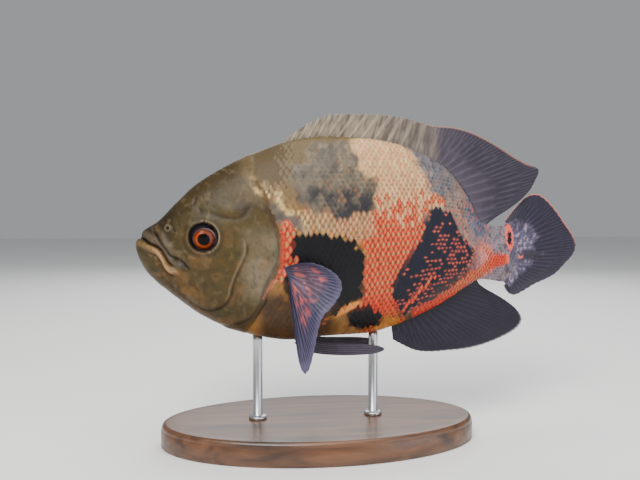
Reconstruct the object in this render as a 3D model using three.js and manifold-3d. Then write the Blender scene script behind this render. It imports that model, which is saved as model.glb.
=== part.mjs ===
// Adult oscar fish as a life-size display model on a plain stand.
// Millimetres, +Z up. The fish faces -X with its left flank towards -Y.
// The origin is the middle of the stand's underside.
import * as THREE from 'three';
import { mergeVertices } from 'three/addons/utils/BufferGeometryUtils.js';
import Module from 'manifold-3d';

// ---------------------------------------------------------------- driving sizes
const SNOUT_X = -112;            // foremost point of the lower jaw
const BEND_START = 112;          // the tail swings gently away from the left side
const BEND_END = 280;
const BEND_DEG = 20;
const BODY_END = 262;            // the loft runs on past the tail root and is cut there
const TAIL_ROOT = 243;           // where body ends and the tail fin begins
const GAP = 0.32;                // clearance between neighbouring pieces
const TRUNK_SPLIT = 150;
const STEM_SPLIT = 206;
const EYE_R = 8.2, EYE_S = 41.2, EYE_Z = 127.6, EYE_Y = 13.4;
const BASE_LEN = 196, BASE_WID = 98, BASE_T = 14;
const ROD_R = 3, ROD_FRONT_S = 73, ROD_REAR_S = 146;
const LOFT_AROUND = 28, LOFT_ALONG = 34;

// Body stations: distance from the snout, back height, belly height, half width,
// height of the widest point, sharpness of back and of belly.
const STATIONS = [
  [0, 122.6, 122.6, 0, 122.6, 1, 1],
  [2, 126.9, 114.6, 6.2, 120.4, 1, 1],
  [3.8, 128.2, 110.4, 8.0, 119.6, 1, 1],
  [6.5, 132.2, 106.2, 9.9, 118.6, 1, 1],
  [13, 136.6, 99.4, 12.8, 116.5, 0.95, 0.95],
  [24, 147.9, 90.6, 16.6, 114.5, 0.9, 0.9],
  [36, 159.2, 81.4, 19.6, 113, 0.92, 0.86],
  [54, 170.6, 71.6, 22.6, 112, 1, 0.84],
  [73, 180.1, 65.7, 24.2, 112, 1.12, 0.84],
  [92, 186.9, 62.8, 24.6, 113.5, 1.22, 0.86],
  [116, 190.4, 64.6, 23.8, 116, 1.3, 0.9],
  [142, 189.6, 65.6, 21.6, 119, 1.32, 1],
  [162, 186.4, 70.6, 18.6, 121, 1.3, 1.15],
  [180, 180.2, 77.4, 15.2, 122.5, 1.25, 1.2],
  [196, 171, 84.8, 11.8, 123, 1.2, 1.2],
  [210, 155, 92.6, 8.8, 122.5, 1.15, 1.15],
  [222, 136.8, 97.6, 6.4, 117, 1.1, 1.1],
  [236, 134, 95.6, 4.6, 115, 1.1, 1.1],
  [262, 136, 93, 3, 114.5, 1.1, 1.1],
];

// ---------------------------------------------------------------- body functions
const smooth = (t) => { t = Math.min(1, Math.max(0, t)); return t * t * (3 - 2 * t); };

// Shape-keeping cubic through the stations, taken over the root of the distance
// so that the nose is blunt and round.
function stationCurve(col) {
  const x = STATIONS.map((r) => Math.sqrt(r[0] / BODY_END)), y = STATIONS.map((r) => r[col]);
  const n = x.length, h = [], d = [], m = new Array(n).fill(0);
  for (let i = 0; i < n - 1; i++) { h.push(x[i + 1] - x[i]); d.push((y[i + 1] - y[i]) / h[i]); }
  for (let i = 1; i < n - 1; i++) {
    if (d[i - 1] * d[i] > 0) {
      const a = 2 * h[i] + h[i - 1], b = h[i] + 2 * h[i - 1];
      m[i] = (a + b) / (a / d[i - 1] + b / d[i]);
    }
  }
  m[0] = d[0]; m[n - 1] = d[n - 2];
  return (s) => {
    const u = Math.min(1, Math.sqrt(Math.max(0, s) / BODY_END));
    let k = 0; while (k < n - 2 && u > x[k + 1]) k++;
    const t = (u - x[k]) / h[k];
    return y[k] * (1 + 2 * t) * (1 - t) ** 2 + m[k] * h[k] * t * (1 - t) ** 2
      + y[k + 1] * t * t * (3 - 2 * t) + m[k + 1] * h[k] * t * t * (t - 1);
  };
}
const back = stationCurve(1), belly = stationCurve(2), halfW = stationCurve(3);
const wideZ = stationCurve(4), backSharp = stationCurve(5), bellySharp = stationCurve(6);

// Backbone line in plan, stepped once.
const LINE = [];
{
  const STEP = 0.5; let x = SNOUT_X, y = 0;
  for (let s = 0; s <= 340; s += STEP) {
    LINE.push([x, y]);
    const p = BEND_DEG * Math.PI / 180 * smooth((s + STEP / 2 - BEND_START) / (BEND_END - BEND_START));
    x += Math.cos(p) * STEP; y += Math.sin(p) * STEP;
  }
}
// Fish coordinates (distance along, sideways to the right, height) to model space.
function place(s, y, z) {
  const p = BEND_DEG * Math.PI / 180 * smooth((s - BEND_START) / (BEND_END - BEND_START));
  const k = Math.min(LINE.length - 2, Math.max(0, Math.floor(s * 2))), f = s * 2 - k;
  const cx = LINE[k][0] + f * (LINE[k + 1][0] - LINE[k][0]);
  const cy = LINE[k][1] + f * (LINE[k + 1][1] - LINE[k][1]);
  return [cx - Math.sin(p) * y, cy + Math.cos(p) * y, z];
}
function widthAt(s, z) {
  const zw = wideZ(s), up = z > zw;
  const t = up ? (z - zw) / (back(s) - zw) : (zw - z) / (zw - belly(s));
  return halfW(s) * Math.max(0, 1 - t * t) ** ((up ? backSharp(s) : bellySharp(s)) / 2);
}

// ---------------------------------------------------------------- solids
const wasm = await Module();
wasm.setup();

function solid(geometry) {
  const g0 = geometry.clone(); g0.deleteAttribute('normal'); g0.deleteAttribute('uv');
  const g = mergeVertices(g0, 1e-3);
  const p = g.attributes.position.array, idx = g.index.array, tri = [];
  let vol = 0;
  for (let i = 0; i < idx.length; i += 3) {
    const [a, b, c] = [idx[i], idx[i + 1], idx[i + 2]];
    if (a === b || b === c || a === c) continue;
    tri.push(a, b, c);
    const A = a * 3, B = b * 3, C = c * 3;
    vol += p[A] * (p[B + 1] * p[C + 2] - p[B + 2] * p[C + 1])
      - p[A + 1] * (p[B] * p[C + 2] - p[B + 2] * p[C])
      + p[A + 2] * (p[B] * p[C + 1] - p[B + 1] * p[C]);
  }
  if (vol < 0) for (let i = 0; i < tri.length; i += 3) [tri[i], tri[i + 1]] = [tri[i + 1], tri[i]];
  return new wasm.Manifold(new wasm.Mesh({
    numProp: 3, vertProperties: Float32Array.from(p), triVerts: Uint32Array.from(tri),
  }));
}
function toGeometry(m) {
  const mesh = m.getMesh(), g = new THREE.BufferGeometry();
  g.setAttribute('position', new THREE.BufferAttribute(Float32Array.from(mesh.vertProperties), 3));
  g.setIndex(new THREE.BufferAttribute(Uint32Array.from(mesh.triVerts), 1));
  const out = g.toNonIndexed(); out.computeVertexNormals();
  return out;
}
function remap(geometry, fn) {
  const p = geometry.attributes.position;
  for (let i = 0; i < p.count; i++) {
    const q = fn(p.getX(i), p.getY(i), p.getZ(i));
    p.setXYZ(i, q[0], q[1], q[2]);
  }
  return geometry;
}

// The whole body as one loft: a unit sphere whose rings become body sections.
function bodySolid(grow = 0) {
  const g = new THREE.SphereGeometry(1, LOFT_AROUND, LOFT_ALONG);
  remap(g, (x, y, z) => {
    const u = Math.acos(Math.min(1, Math.max(-1, y))) / Math.PI;
    const s = BODY_END * u ** 1.7;
    const r = Math.hypot(x, z);
    const c = r > 1e-6 ? x / r : 1, n = r > 1e-6 ? z / r : 0;
    const end = Math.sqrt(Math.max(0, 1 - Math.max(0, (s - BODY_END + 8) / 8) ** 2));
    const zw = wideZ(s);
    const e = n > 0 ? backSharp(s) : bellySharp(s);
    const near = smooth(s / 2);
    const yy = (halfW(s) + grow * near) * Math.sign(c) * Math.abs(c) ** e * end;
    const zz = zw + (n > 0 ? back(s) - zw + grow * near : zw - belly(s) + grow * near) * n * end;
    return place(s, yy, zz);
  });
  return solid(g);
}
// A block between two body distances, bent with the backbone.
function slab(s0, s1) {
  const n = Math.max(1, Math.ceil((s1 - s0) / 12));
  return solid(remap(new THREE.BoxGeometry(1, 1, 1, n, 1, 1), (x, y, z) =>
    place(s0 + (x + 0.5) * (s1 - s0), y * 140, 125 + z * 240)));
}
// A flat outline in the side view (distance, height), cut through from y0 to y1.
function sidePrism(outline, y0, y1) {
  const sh = new THREE.Shape(outline.map(([s, z]) => new THREE.Vector2(SNOUT_X + s, z)));
  const g = new THREE.ExtrudeGeometry(sh, { depth: y1 - y0, bevelEnabled: false });
  return solid(remap(g, (x, y, z) => [x, y0 + z, y]));
}
// Moves an outline outwards by d along its own normals.
function offsetOutline(o, d) {
  const n = o.length; let area = 0;
  for (let i = 0; i < n; i++) { const a = o[i], b = o[(i + 1) % n]; area += a[0] * b[1] - b[0] * a[1]; }
  const sg = area > 0 ? 1 : -1;
  return o.map((p, i) => {
    const a = o[(i + n - 1) % n], b = o[(i + 1) % n];
    const e1 = new THREE.Vector2(p[0] - a[0], p[1] - a[1]).normalize();
    const e2 = new THREE.Vector2(b[0] - p[0], b[1] - p[1]).normalize();
    const n1 = new THREE.Vector2(e1.y, -e1.x), n2 = new THREE.Vector2(e2.y, -e2.x);
    const m = n1.clone().add(n2).normalize(), k = 1 / Math.max(0.4, m.dot(n1));
    return [p[0] + m.x * d * k * sg, p[1] + m.y * d * k * sg];
  });
}
const spline = (pts) => new THREE.SplineCurve(pts.map(([s, z]) => new THREE.Vector2(s, z)));

// A fin: a sheet between its root line and its free edge, thick at the root.
function fin(rootPts, edgePts, t0, t1, nu, nv, side = () => 0, edgeFn = null) {
  const root = spline(rootPts), edge = edgeFn ? null : spline(edgePts);
  const g = new THREE.BoxGeometry(1, 1, 1, nu, nv, 1);
  return solid(remap(g, (x, y, z) => {
    const u = x + 0.5, v = y + 0.5;
    const a = root.getPoint(u), b = edge ? edge.getPoint(u) : edgeFn(u);
    const s = a.x + (b.x - a.x) * v, h = a.y + (b.y - a.y) * v;
    const th = t0 + (t1 - t0) * Math.sqrt(v);
    return place(s, side(u, v) + z * th, h);
  }));
}

const body = bodySolid(0), bodyRoom = bodySolid(GAP);
const H = GAP / 2;

// -------- outlines of the head's pieces in the side view
const GAPE = [[-6, 127.2], [2.7, 127.5], [5.6, 126.3], [9.1, 123.5], [13.7, 121.6], [16.7, 119], [18.7, 115.3], [20.8, 111.4], [23.8, 108.6]];
const LOWER_JAW = [...GAPE, [27.5, 99], [28.5, 90], [27, 70], [-6, 70]];
const UPPER_JAW = [[-6, 137], [9.6, 134.6], [14.4, 127.2], [19.9, 119.6], [25.4, 115], [30.6, 110.6], [31.4, 107.6], [27, 106.2], ...GAPE.slice().reverse()];
const GILL_COVER = [
  [66.6, 120], [66.8, 131], [70.5, 140], [78.7, 141.7], [82.1, 134.7], [85, 125.9], [85.5, 116.1],
  [82, 107], [77.8, 98], [75.1, 89], [70.4, 81], [62.2, 76.6], [53.2, 78.4], [52.9, 85.9],
  [56.8, 93], [58.8, 99.5], [61.4, 106.6], [64.4, 113.6],
];
const HEAD_REAR = [[-8, 205], [73, 205], [76, 176], [77.6, 156], [80.4, 142.4], [83.7, 134.9], [86.6, 126],
  [87.1, 115.8], [83.5, 106.4], [79.3, 97.4], [76.6, 88.3], [71.5, 79.6], [66, 72], [64, 50], [-8, 50]];

const nodes = {};
const eyeAt = (side, r) => {
  const g = new THREE.SphereGeometry(r, 14, 10);
  g.translate(SNOUT_X + EYE_S, side * EYE_Y, EYE_Z);
  return solid(g);
};
let headRegion = body.intersect(sidePrism(offsetOutline(HEAD_REAR, -H), -60, 60));
nodes.lower_jaw = headRegion.intersect(sidePrism(offsetOutline(LOWER_JAW, -H), -60, 60));
nodes.upper_jaw = headRegion.intersect(sidePrism(offsetOutline(UPPER_JAW, -H), -60, 60));
nodes.gill_cover_l = headRegion.intersect(sidePrism(offsetOutline(GILL_COVER, -H), -60, -8.3));
nodes.gill_cover_r = headRegion.intersect(sidePrism(offsetOutline(GILL_COVER, -H), 8.3, 60));
nodes.head = headRegion
  .subtract(sidePrism(offsetOutline(LOWER_JAW, H), -60, 60))
  .subtract(sidePrism(offsetOutline(UPPER_JAW, H), -60, 60))
  .subtract(sidePrism(offsetOutline(GILL_COVER, H), -60, -8))
  .subtract(sidePrism(offsetOutline(GILL_COVER, H), 8, 60))
  .subtract(eyeAt(-1, EYE_R + GAP)).subtract(eyeAt(1, EYE_R + GAP));
nodes.eye_l = eyeAt(-1, EYE_R);
nodes.eye_r = eyeAt(1, EYE_R);

const behindHead = body.subtract(sidePrism(offsetOutline(HEAD_REAR, H), -60, 60));
nodes.trunk_front = behindHead.intersect(slab(50, TRUNK_SPLIT - H));
nodes.trunk_rear = body.intersect(slab(TRUNK_SPLIT + H, STEM_SPLIT - H));
nodes.tail_stem = body.intersect(slab(STEM_SPLIT + H, TAIL_ROOT - H));

// -------- unpaired fins
const along = (f, s0, s1, n, d) => Array.from({ length: n + 1 }, (_, i) => {
  const s = s0 + (s1 - s0) * i / n; return [s, f(s) + d];
});
// Spiny dorsal: thirteen spines whose tips stand out of the web as a saw edge.
const SPINES = 13, SPINY_START = 90, SPINY_END = 182;
const spinyTop = spline([[92, 189], [99, 194.6], [106, 198.6], [113, 202.2], [121, 203.6], [140, 204], [160, 203.2], [174, 200.4], [186, 197]]);
nodes.dorsal_fin_spiny = fin(along(back, SPINY_START, SPINY_END, 10, -3), null, 3.2, 1.3, SPINES * 3, 2, () => 0, (u) => {
  const p = spinyTop.getPoint(u), f = (u * SPINES) % 1;
  const saw = u > 0.999 || u < 0.001 ? 0 : 2.2 * (f < 0.34 ? -0.6 : f > 0.6 ? 0.25 : -0.2);
  return new THREE.Vector2(p.x, p.y + saw);
});
nodes.dorsal_fin_soft = fin(along(back, SPINY_END + 1, 226, 9, -3),
  [[187, 197.2], [200, 197.4], [212, 195.2], [224, 191], [236, 186], [248, 180.4], [260, 175.8], [270, 173.4], [271, 170.5],
    [268, 165], [263, 157.8], [254, 150.6], [244, 144.8], [235, 140.2], [226.5, 135.4]], 3, 1.2, 20, 4);
nodes.anal_fin = fin(along(belly, 158, 218.5, 9, 3),
  [[159, 61.2], [166, 57.4], [174, 53.8], [184, 52.2], [198, 52.2], [214, 53], [230, 55.8], [246, 60.6], [254, 64.8], [256.8, 69.6],
    [252.5, 76], [244, 82], [235, 87], [227, 91], [219, 95.6]], 3, 1.2, 20, 4);
nodes.caudal_fin = fin([[TAIL_ROOT + H, 134.4], [TAIL_ROOT + H, 125], [TAIL_ROOT + H, 114.5], [TAIL_ROOT + H, 104], [TAIL_ROOT + H, 95.2]],
  [[243.6, 137], [254, 146.6], [264, 154], [274, 155.6], [283, 151.4], [292, 144], [301, 134.4], [308, 127], [311.4, 119.6], [309.6, 113.6],
    [303, 107], [293, 99.6], [283, 95.6], [272, 92.4], [262, 88.4], [253, 85.8], [247, 88], [243.6, 92.6]], 6.4, 1.2, 22, 4,
  (u, v) => 3.5 * v * v);

// -------- paired fins, with their roots on the flank just behind the gill cover
function pairedFin(sideSign, rootPts, edgePts, t0, t1, nu, nv, out) {
  return fin(rootPts, edgePts, t0, t1, nu, nv, (u, v) => sideSign * out(u, v));
}
const PEC_ROOT = [[88, 109.5], [89.4, 106], [90.4, 102.5], [91, 99]];
const PEC_EDGE = [[93, 112.6], [103, 113.2], [113, 109.4], [119, 103.6], [119.6, 97], [115, 89], [108.6, 82], [105.6, 72], [103.6, 62],
  [101, 53], [98.4, 50.6], [95.6, 56], [93.6, 68], [92, 80], [90.6, 91]];
const pecOut = (u, v) => 23.2 + 15.5 * v ** 1.15 * (0.75 + 0.25 * Math.sin(Math.PI * u));
nodes.pectoral_fin_l = pairedFin(-1, PEC_ROOT, PEC_EDGE, 3, 1.1, 18, 4, pecOut);
const PEC_EDGE_R = PEC_EDGE.map(([s, z]) => { // the hidden one lies a little further back
  const a = 0.28, ds = s - 89.5, dz = z - 104;
  return [89.5 + ds * Math.cos(a) - dz * Math.sin(a), 104 + ds * Math.sin(a) + dz * Math.cos(a)];
});
nodes.pectoral_fin_r = pairedFin(1, PEC_ROOT, PEC_EDGE_R, 3, 1.1, 18, 4, (u, v) => 23.2 + 13 * v ** 1.15);
// Pelvic fins: narrow blades laid back along the belly, lofted from lower to upper edge.
const PEL_LOW = [[95, 62.6], [100, 58.2], [110, 55.6], [124, 54.6], [138, 54.8], [146, 55.8], [149.6, 57.4]];
const PEL_TOP = [[103, 66], [108, 63.6], [114, 62.4], [124, 61.8], [138, 61.2], [146, 60.2], [149.6, 58.8]];
const pelOut = (u) => 9 + 4.5 * u;
nodes.pelvic_fin_l = pairedFin(-1, PEL_LOW, PEL_TOP, 1.7, 1.7, 12, 2, pelOut);
nodes.pelvic_fin_r = pairedFin(1, PEL_LOW, PEL_TOP, 1.7, 1.7, 12, 2, pelOut);
for (const k of ['dorsal_fin_spiny', 'dorsal_fin_soft', 'anal_fin', 'pectoral_fin_l', 'pectoral_fin_r', 'pelvic_fin_l', 'pelvic_fin_r']) {
  const cut = nodes[k].subtract(bodyRoom);
  const bits = cut.decompose().sort((a, b) => b.volume() - a.volume());
  nodes[k] = bits[0];
}

// -------- stand: an oval base with a rounded rim, and two rods let into it
{
  const BEVEL = 2.5;
  const oval = new THREE.Shape();
  oval.absellipse(0, 0, BASE_LEN / 2 - BEVEL, BASE_WID / 2 - BEVEL, 0, Math.PI * 2, false, 0);
  const g = new THREE.ExtrudeGeometry(oval, { depth: BASE_T - BEVEL, steps: 1, curveSegments: 20, bevelEnabled: true, bevelThickness: BEVEL, bevelSize: BEVEL, bevelSegments: 2 });
  // the rim is rounded above only: what would lie below the floor is cut flat
  let base = solid(g).intersect(solid(new THREE.BoxGeometry(BASE_LEN + 20, BASE_WID + 20, BASE_T * 2).translate(0, 0, BASE_T)));
  const rod = (s, r, z0, z1) => {
    const [x, y] = place(s, 0, 0);
    const c = new THREE.CylinderGeometry(r, r, z1 - z0, 20, 1); c.rotateX(Math.PI / 2);
    c.translate(x, y, (z0 + z1) / 2);
    return solid(c);
  };
  for (const [name, s] of [['stand_rod_front', ROD_FRONT_S], ['stand_rod_rear', ROD_REAR_S]]) {
    base = base.subtract(rod(s, ROD_R + GAP, BASE_T - 8, BASE_T + 5));
    nodes[name] = rod(s, ROD_R, BASE_T - 8 + GAP, 72).subtract(bodyRoom).decompose().sort((a, b) => b.volume() - a.volume())[0];
  }
  nodes.stand_base = base;
}

// ---------------------------------------------------------------- finish of each piece
const LOOK = {
  head: [0x7c6e54, 0.5], upper_jaw: [0xb49a70, 0.45], lower_jaw: [0xa8895c, 0.45],
  gill_cover_l: [0x80765f, 0.5], gill_cover_r: [0x80765f, 0.5],
  trunk_front: [0x8a7a66, 0.5], trunk_rear: [0xd0704a, 0.5], tail_stem: [0x9a8a82, 0.5],
  dorsal_fin_spiny: [0xa39483, 0.55], dorsal_fin_soft: [0x554c5c, 0.5], anal_fin: [0x463d4b, 0.5], caudal_fin: [0x4c4250, 0.5],
  pectoral_fin_l: [0x736e87, 0.45], pectoral_fin_r: [0x736e87, 0.45], pelvic_fin_l: [0x3d3642, 0.5], pelvic_fin_r: [0x3d3642, 0.5],
  eye_l: [0xb4561f, 0.12], eye_r: [0xb4561f, 0.12],
  stand_base: [0x4a3020, 0.4], stand_rod_front: [0xb8b8bc, 0.3], stand_rod_rear: [0xb8b8bc, 0.3],
};
const group = new THREE.Group();
for (const [name, m] of Object.entries(nodes)) {
  const [color, roughness] = LOOK[name];
  const mesh = new THREE.Mesh(toGeometry(m), new THREE.MeshStandardMaterial({
    color, roughness, metalness: name.startsWith('stand_rod') ? 1 : 0,
  }));
  mesh.name = name;
  group.add(mesh);
}
export default group;
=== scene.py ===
"""Life-size oscar fish on a plain stand: skin, scales, fins, eyes and stand.
Works in millimetres in fish coordinates (s along the bent backbone, y to the right, z up)
and turns them into metres in the frame at the end."""
import bpy, math
import numpy as np
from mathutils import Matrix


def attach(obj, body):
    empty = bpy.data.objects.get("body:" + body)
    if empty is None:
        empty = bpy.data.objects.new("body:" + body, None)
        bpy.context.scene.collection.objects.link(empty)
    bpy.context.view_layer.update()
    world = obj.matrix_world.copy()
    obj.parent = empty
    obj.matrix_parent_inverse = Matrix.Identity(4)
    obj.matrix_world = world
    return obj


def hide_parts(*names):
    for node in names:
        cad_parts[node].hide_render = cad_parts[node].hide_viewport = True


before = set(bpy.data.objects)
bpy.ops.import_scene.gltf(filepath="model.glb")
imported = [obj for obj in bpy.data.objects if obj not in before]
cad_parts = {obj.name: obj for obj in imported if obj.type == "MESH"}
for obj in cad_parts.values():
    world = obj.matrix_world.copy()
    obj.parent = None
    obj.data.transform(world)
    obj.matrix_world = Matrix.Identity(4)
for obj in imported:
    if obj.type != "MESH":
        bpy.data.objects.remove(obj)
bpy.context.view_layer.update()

# ------------------------------------------------------------------ driving sizes (mm)
SNOUT_X = -112.0
BEND_START, BEND_END, BEND_DEG = 112.0, 280.0, 20.0
BODY_END = 262.0
TAIL_ROOT = 243.0
SKIN_END = 257.0       # the scaled skin thins out over the root of the tail fin
EYE_S, EYE_Z, EYE_Y, EYE_R = 41.2, 127.6, 13.4, 8.2
SKIN_IN, HEAD_IN = 0.75, 0.1          # how far the skin lies inside the solids, scaled and bare
ROW_PITCH, COL_PITCH = 3.0, 3.35      # scales up the flank and along it, at mid body
STATIONS = np.array([
    [0, 122.6, 122.6, 0, 122.6, 1, 1],
    [2, 126.9, 114.6, 6.2, 120.4, 1, 1],
    [3.8, 128.2, 110.4, 8.0, 119.6, 1, 1],
    [6.5, 132.2, 106.2, 9.9, 118.6, 1, 1],
    [13, 136.6, 99.4, 12.8, 116.5, 0.95, 0.95],
    [24, 147.9, 90.6, 16.6, 114.5, 0.9, 0.9],
    [36, 159.2, 81.4, 19.6, 113, 0.92, 0.86],
    [54, 170.6, 71.6, 22.6, 112, 1, 0.84],
    [73, 180.1, 65.7, 24.2, 112, 1.12, 0.84],
    [92, 186.9, 62.8, 24.6, 113.5, 1.22, 0.86],
    [116, 190.4, 64.6, 23.8, 116, 1.3, 0.9],
    [142, 189.6, 65.6, 21.6, 119, 1.32, 1],
    [162, 186.4, 70.6, 18.6, 121, 1.3, 1.15],
    [180, 180.2, 77.4, 15.2, 122.5, 1.25, 1.2],
    [196, 171, 84.8, 11.8, 123, 1.2, 1.2],
    [210, 155, 92.6, 8.8, 122.5, 1.15, 1.15],
    [222, 136.8, 97.6, 6.4, 117, 1.1, 1.1],
    [236, 134, 95.6, 4.6, 115, 1.1, 1.1],
    [262, 136, 93, 3, 114.5, 1.1, 1.1]], float)

# ------------------------------------------------------------------ small maths
def smooth(t):
    t = np.clip(t, 0, 1)
    return t * t * (3 - 2 * t)

def pchip(x, y, xi):
    h = np.diff(x); d = np.diff(y) / h
    m = np.zeros(len(x))
    for i in range(1, len(x) - 1):
        if d[i - 1] * d[i] > 0:
            a, b = 2 * h[i] + h[i - 1], h[i] + 2 * h[i - 1]
            m[i] = (a + b) / (a / d[i - 1] + b / d[i])
    m[0], m[-1] = d[0], d[-1]
    xi = np.clip(xi, x[0], x[-1])
    k = np.clip(np.searchsorted(x, xi, side="right") - 1, 0, len(x) - 2)
    t = (xi - x[k]) / h[k]
    return (y[k] * (1 + 2 * t) * (1 - t) ** 2 + m[k] * h[k] * t * (1 - t) ** 2
            + y[k + 1] * t * t * (3 - 2 * t) + m[k + 1] * h[k] * t * t * (t - 1))

_SU = np.sqrt(STATIONS[:, 0] / BODY_END)
_FS = np.linspace(0, 1, 3000)
_TAB = {j: pchip(_SU, STATIONS[:, j], _FS) for j in range(1, 7)}
def prof(j, s):
    return np.interp(np.sqrt(np.clip(s, 0, BODY_END) / BODY_END), _FS, _TAB[j])

_LS = np.linspace(-20, 360, 3801)
_PH = np.radians(BEND_DEG) * smooth((_LS - BEND_START) / (BEND_END - BEND_START))
_LX = np.concatenate([[0], np.cumsum((np.cos(_PH)[1:] + np.cos(_PH)[:-1]) / 2 * np.diff(_LS))])
_LY = np.concatenate([[0], np.cumsum((np.sin(_PH)[1:] + np.sin(_PH)[:-1]) / 2 * np.diff(_LS))])
_i0 = int(np.argmin(np.abs(_LS))); _LX = _LX - _LX[_i0] + SNOUT_X; _LY = _LY - _LY[_i0]
def place(s, y, z):
    """Fish coordinates to the frame, in mm."""
    p = np.interp(s, _LS, _PH)
    return np.stack([np.interp(s, _LS, _LX) - np.sin(p) * y, np.interp(s, _LS, _LY) + np.cos(p) * y, z + 0 * p], -1)

def tail_thin(s):
    """Thins the body over the root of the tail fin."""
    return 1 - 0.80 * smooth((s - 238) / 22)

def section(s, a):
    """Body section: a = 0 right side, pi/2 back, pi left side, -pi/2 belly. Returns y, z."""
    zw = prof(4, s); c, n = np.cos(a), np.sin(a)
    up = n > 0
    e = np.where(up, prof(5, s), prof(6, s))
    y = prof(3, s) * tail_thin(s) * np.sign(c) * np.abs(c) ** e
    z = zw + np.where(up, prof(1, s) - zw, zw - prof(2, s)) * n
    return y, z

def half_width(s, z):
    zw = prof(4, s); up = z > zw
    t = np.where(up, (z - zw) / np.maximum(prof(1, s) - zw, 1e-6), (zw - z) / np.maximum(zw - prof(2, s), 1e-6))
    e = np.where(up, prof(5, s), prof(6, s))
    return prof(3, s) * tail_thin(s) * np.clip(1 - t * t, 0, 1) ** (e / 2)

# smooth value noise, seeded, in two or three dimensions
def _hash(ix, iy, iz, seed):
    h = (ix * 374761393 + iy * 668265263 + iz * 2147483647 + seed * 974711) & 0xFFFFFFFF
    h = ((h ^ (h >> 13)) * 1274126177) & 0xFFFFFFFF
    return ((h ^ (h >> 16)) & 0xFFFFFF) / float(0xFFFFFF)

def noise(x, y, seed=0, z=None):
    x = np.asarray(x, float); y = np.asarray(y, float)
    z = np.zeros_like(x) if z is None else np.asarray(z, float)
    xi, yi, zi = np.floor(x).astype(np.int64), np.floor(y).astype(np.int64), np.floor(z).astype(np.int64)
    u, v, w = x - xi, y - yi, z - zi
    u, v, w = u * u * (3 - 2 * u), v * v * (3 - 2 * v), w * w * (3 - 2 * w)
    r = 0
    for dx in (0, 1):
        for dy in (0, 1):
            for dz in (0, 1):
                k = (u if dx else 1 - u) * (v if dy else 1 - v) * (w if dz else 1 - w)
                r = r + k * _hash(xi + dx, yi + dy, zi + dz, seed)
    return r * 2 - 1

def fbm(x, y, seed=0, octaves=3):
    r, amp, tot = 0, 1.0, 0.0
    for o in range(octaves):
        r = r + amp * noise(x * 2 ** o, y * 2 ** o, seed + 17 * o); tot += amp; amp *= 0.5
    return r / tot

def poly_sd(pts, s, z):
    """Signed distance to a closed outline in the side view, negative inside."""
    p = np.asarray(pts, float); n = len(p)
    d = np.full(np.shape(s), 1e9); inside = np.zeros(np.shape(s), bool)
    for i in range(n):
        a, b = p[i], p[(i + 1) % n]
        ex, ey = b - a; wx, wy = s - a[0], z - a[1]
        t = np.clip((wx * ex + wy * ey) / (ex * ex + ey * ey), 0, 1)
        d = np.minimum(d, np.hypot(wx - ex * t, wy - ey * t))
        c = (a[1] > z) != (b[1] > z)
        with np.errstate(divide="ignore", invalid="ignore"):
            xx = (b[0] - a[0]) * (z - a[1]) / (b[1] - a[1] + 1e-12) + a[0]
        inside ^= c & (s < xx)
    return np.where(inside, -d, d)

def line_d(pts, s, z):
    """Distance to an open line in the side view, the side it lies on, and how far along it (0..1)."""
    p = np.asarray(pts, float)
    seg = np.hypot(*np.diff(p, axis=0).T); cum = np.concatenate([[0], np.cumsum(seg)])
    best = np.full(np.shape(s), 1e9); side = np.zeros(np.shape(s)); al = np.zeros(np.shape(s))
    for i in range(len(p) - 1):
        a, b = p[i], p[i + 1]; ex, ey = b - a; wx, wy = s - a[0], z - a[1]
        t = np.clip((wx * ex + wy * ey) / (ex * ex + ey * ey), 0, 1)
        d = np.hypot(wx - ex * t, wy - ey * t)
        k = d < best
        best = np.where(k, d, best)
        side = np.where(k, np.sign(ex * wy - ey * wx), side)
        al = np.where(k, (cum[i] + t * seg[i]) / cum[-1], al)
    return best, side, al

def curve_pts(pts, n=60):
    """A smooth line through a few named points."""
    p = np.asarray(pts, float); seg = np.hypot(*np.diff(p, axis=0).T)
    t = np.concatenate([[0], np.cumsum(np.sqrt(seg))]); t /= t[-1]
    ti = np.linspace(0, 1, n); out = []
    for c in range(p.shape[1]):
        y = p[:, c]; m = np.zeros(len(y))
        m[1:-1] = (y[2:] - y[:-2]) / (t[2:] - t[:-2])
        m[0] = (y[1] - y[0]) / (t[1] - t[0]); m[-1] = (y[-1] - y[-2]) / (t[-1] - t[-2])
        k = np.clip(np.searchsorted(t, ti, side="right") - 1, 0, len(t) - 2)
        h = t[k + 1] - t[k]; u = (ti - t[k]) / h
        out.append(y[k] * (1 + 2 * u) * (1 - u) ** 2 + m[k] * h * u * (1 - u) ** 2
                   + y[k + 1] * u * u * (3 - 2 * u) + m[k + 1] * h * u * u * (u - 1))
    return np.stack(out, -1)

def bump(d, w):
    return np.exp(-(d / w) ** 2)

def srgb(r, g, b):
    c = np.array([r, g, b], float) / 255
    return np.where(c <= 0.04045, c / 12.92, ((c + 0.055) / 1.055) ** 2.4)

def mix(a, b, t):
    t = np.clip(t, 0, 1)
    return a * (1 - t[..., None]) + b * t[..., None]

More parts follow.
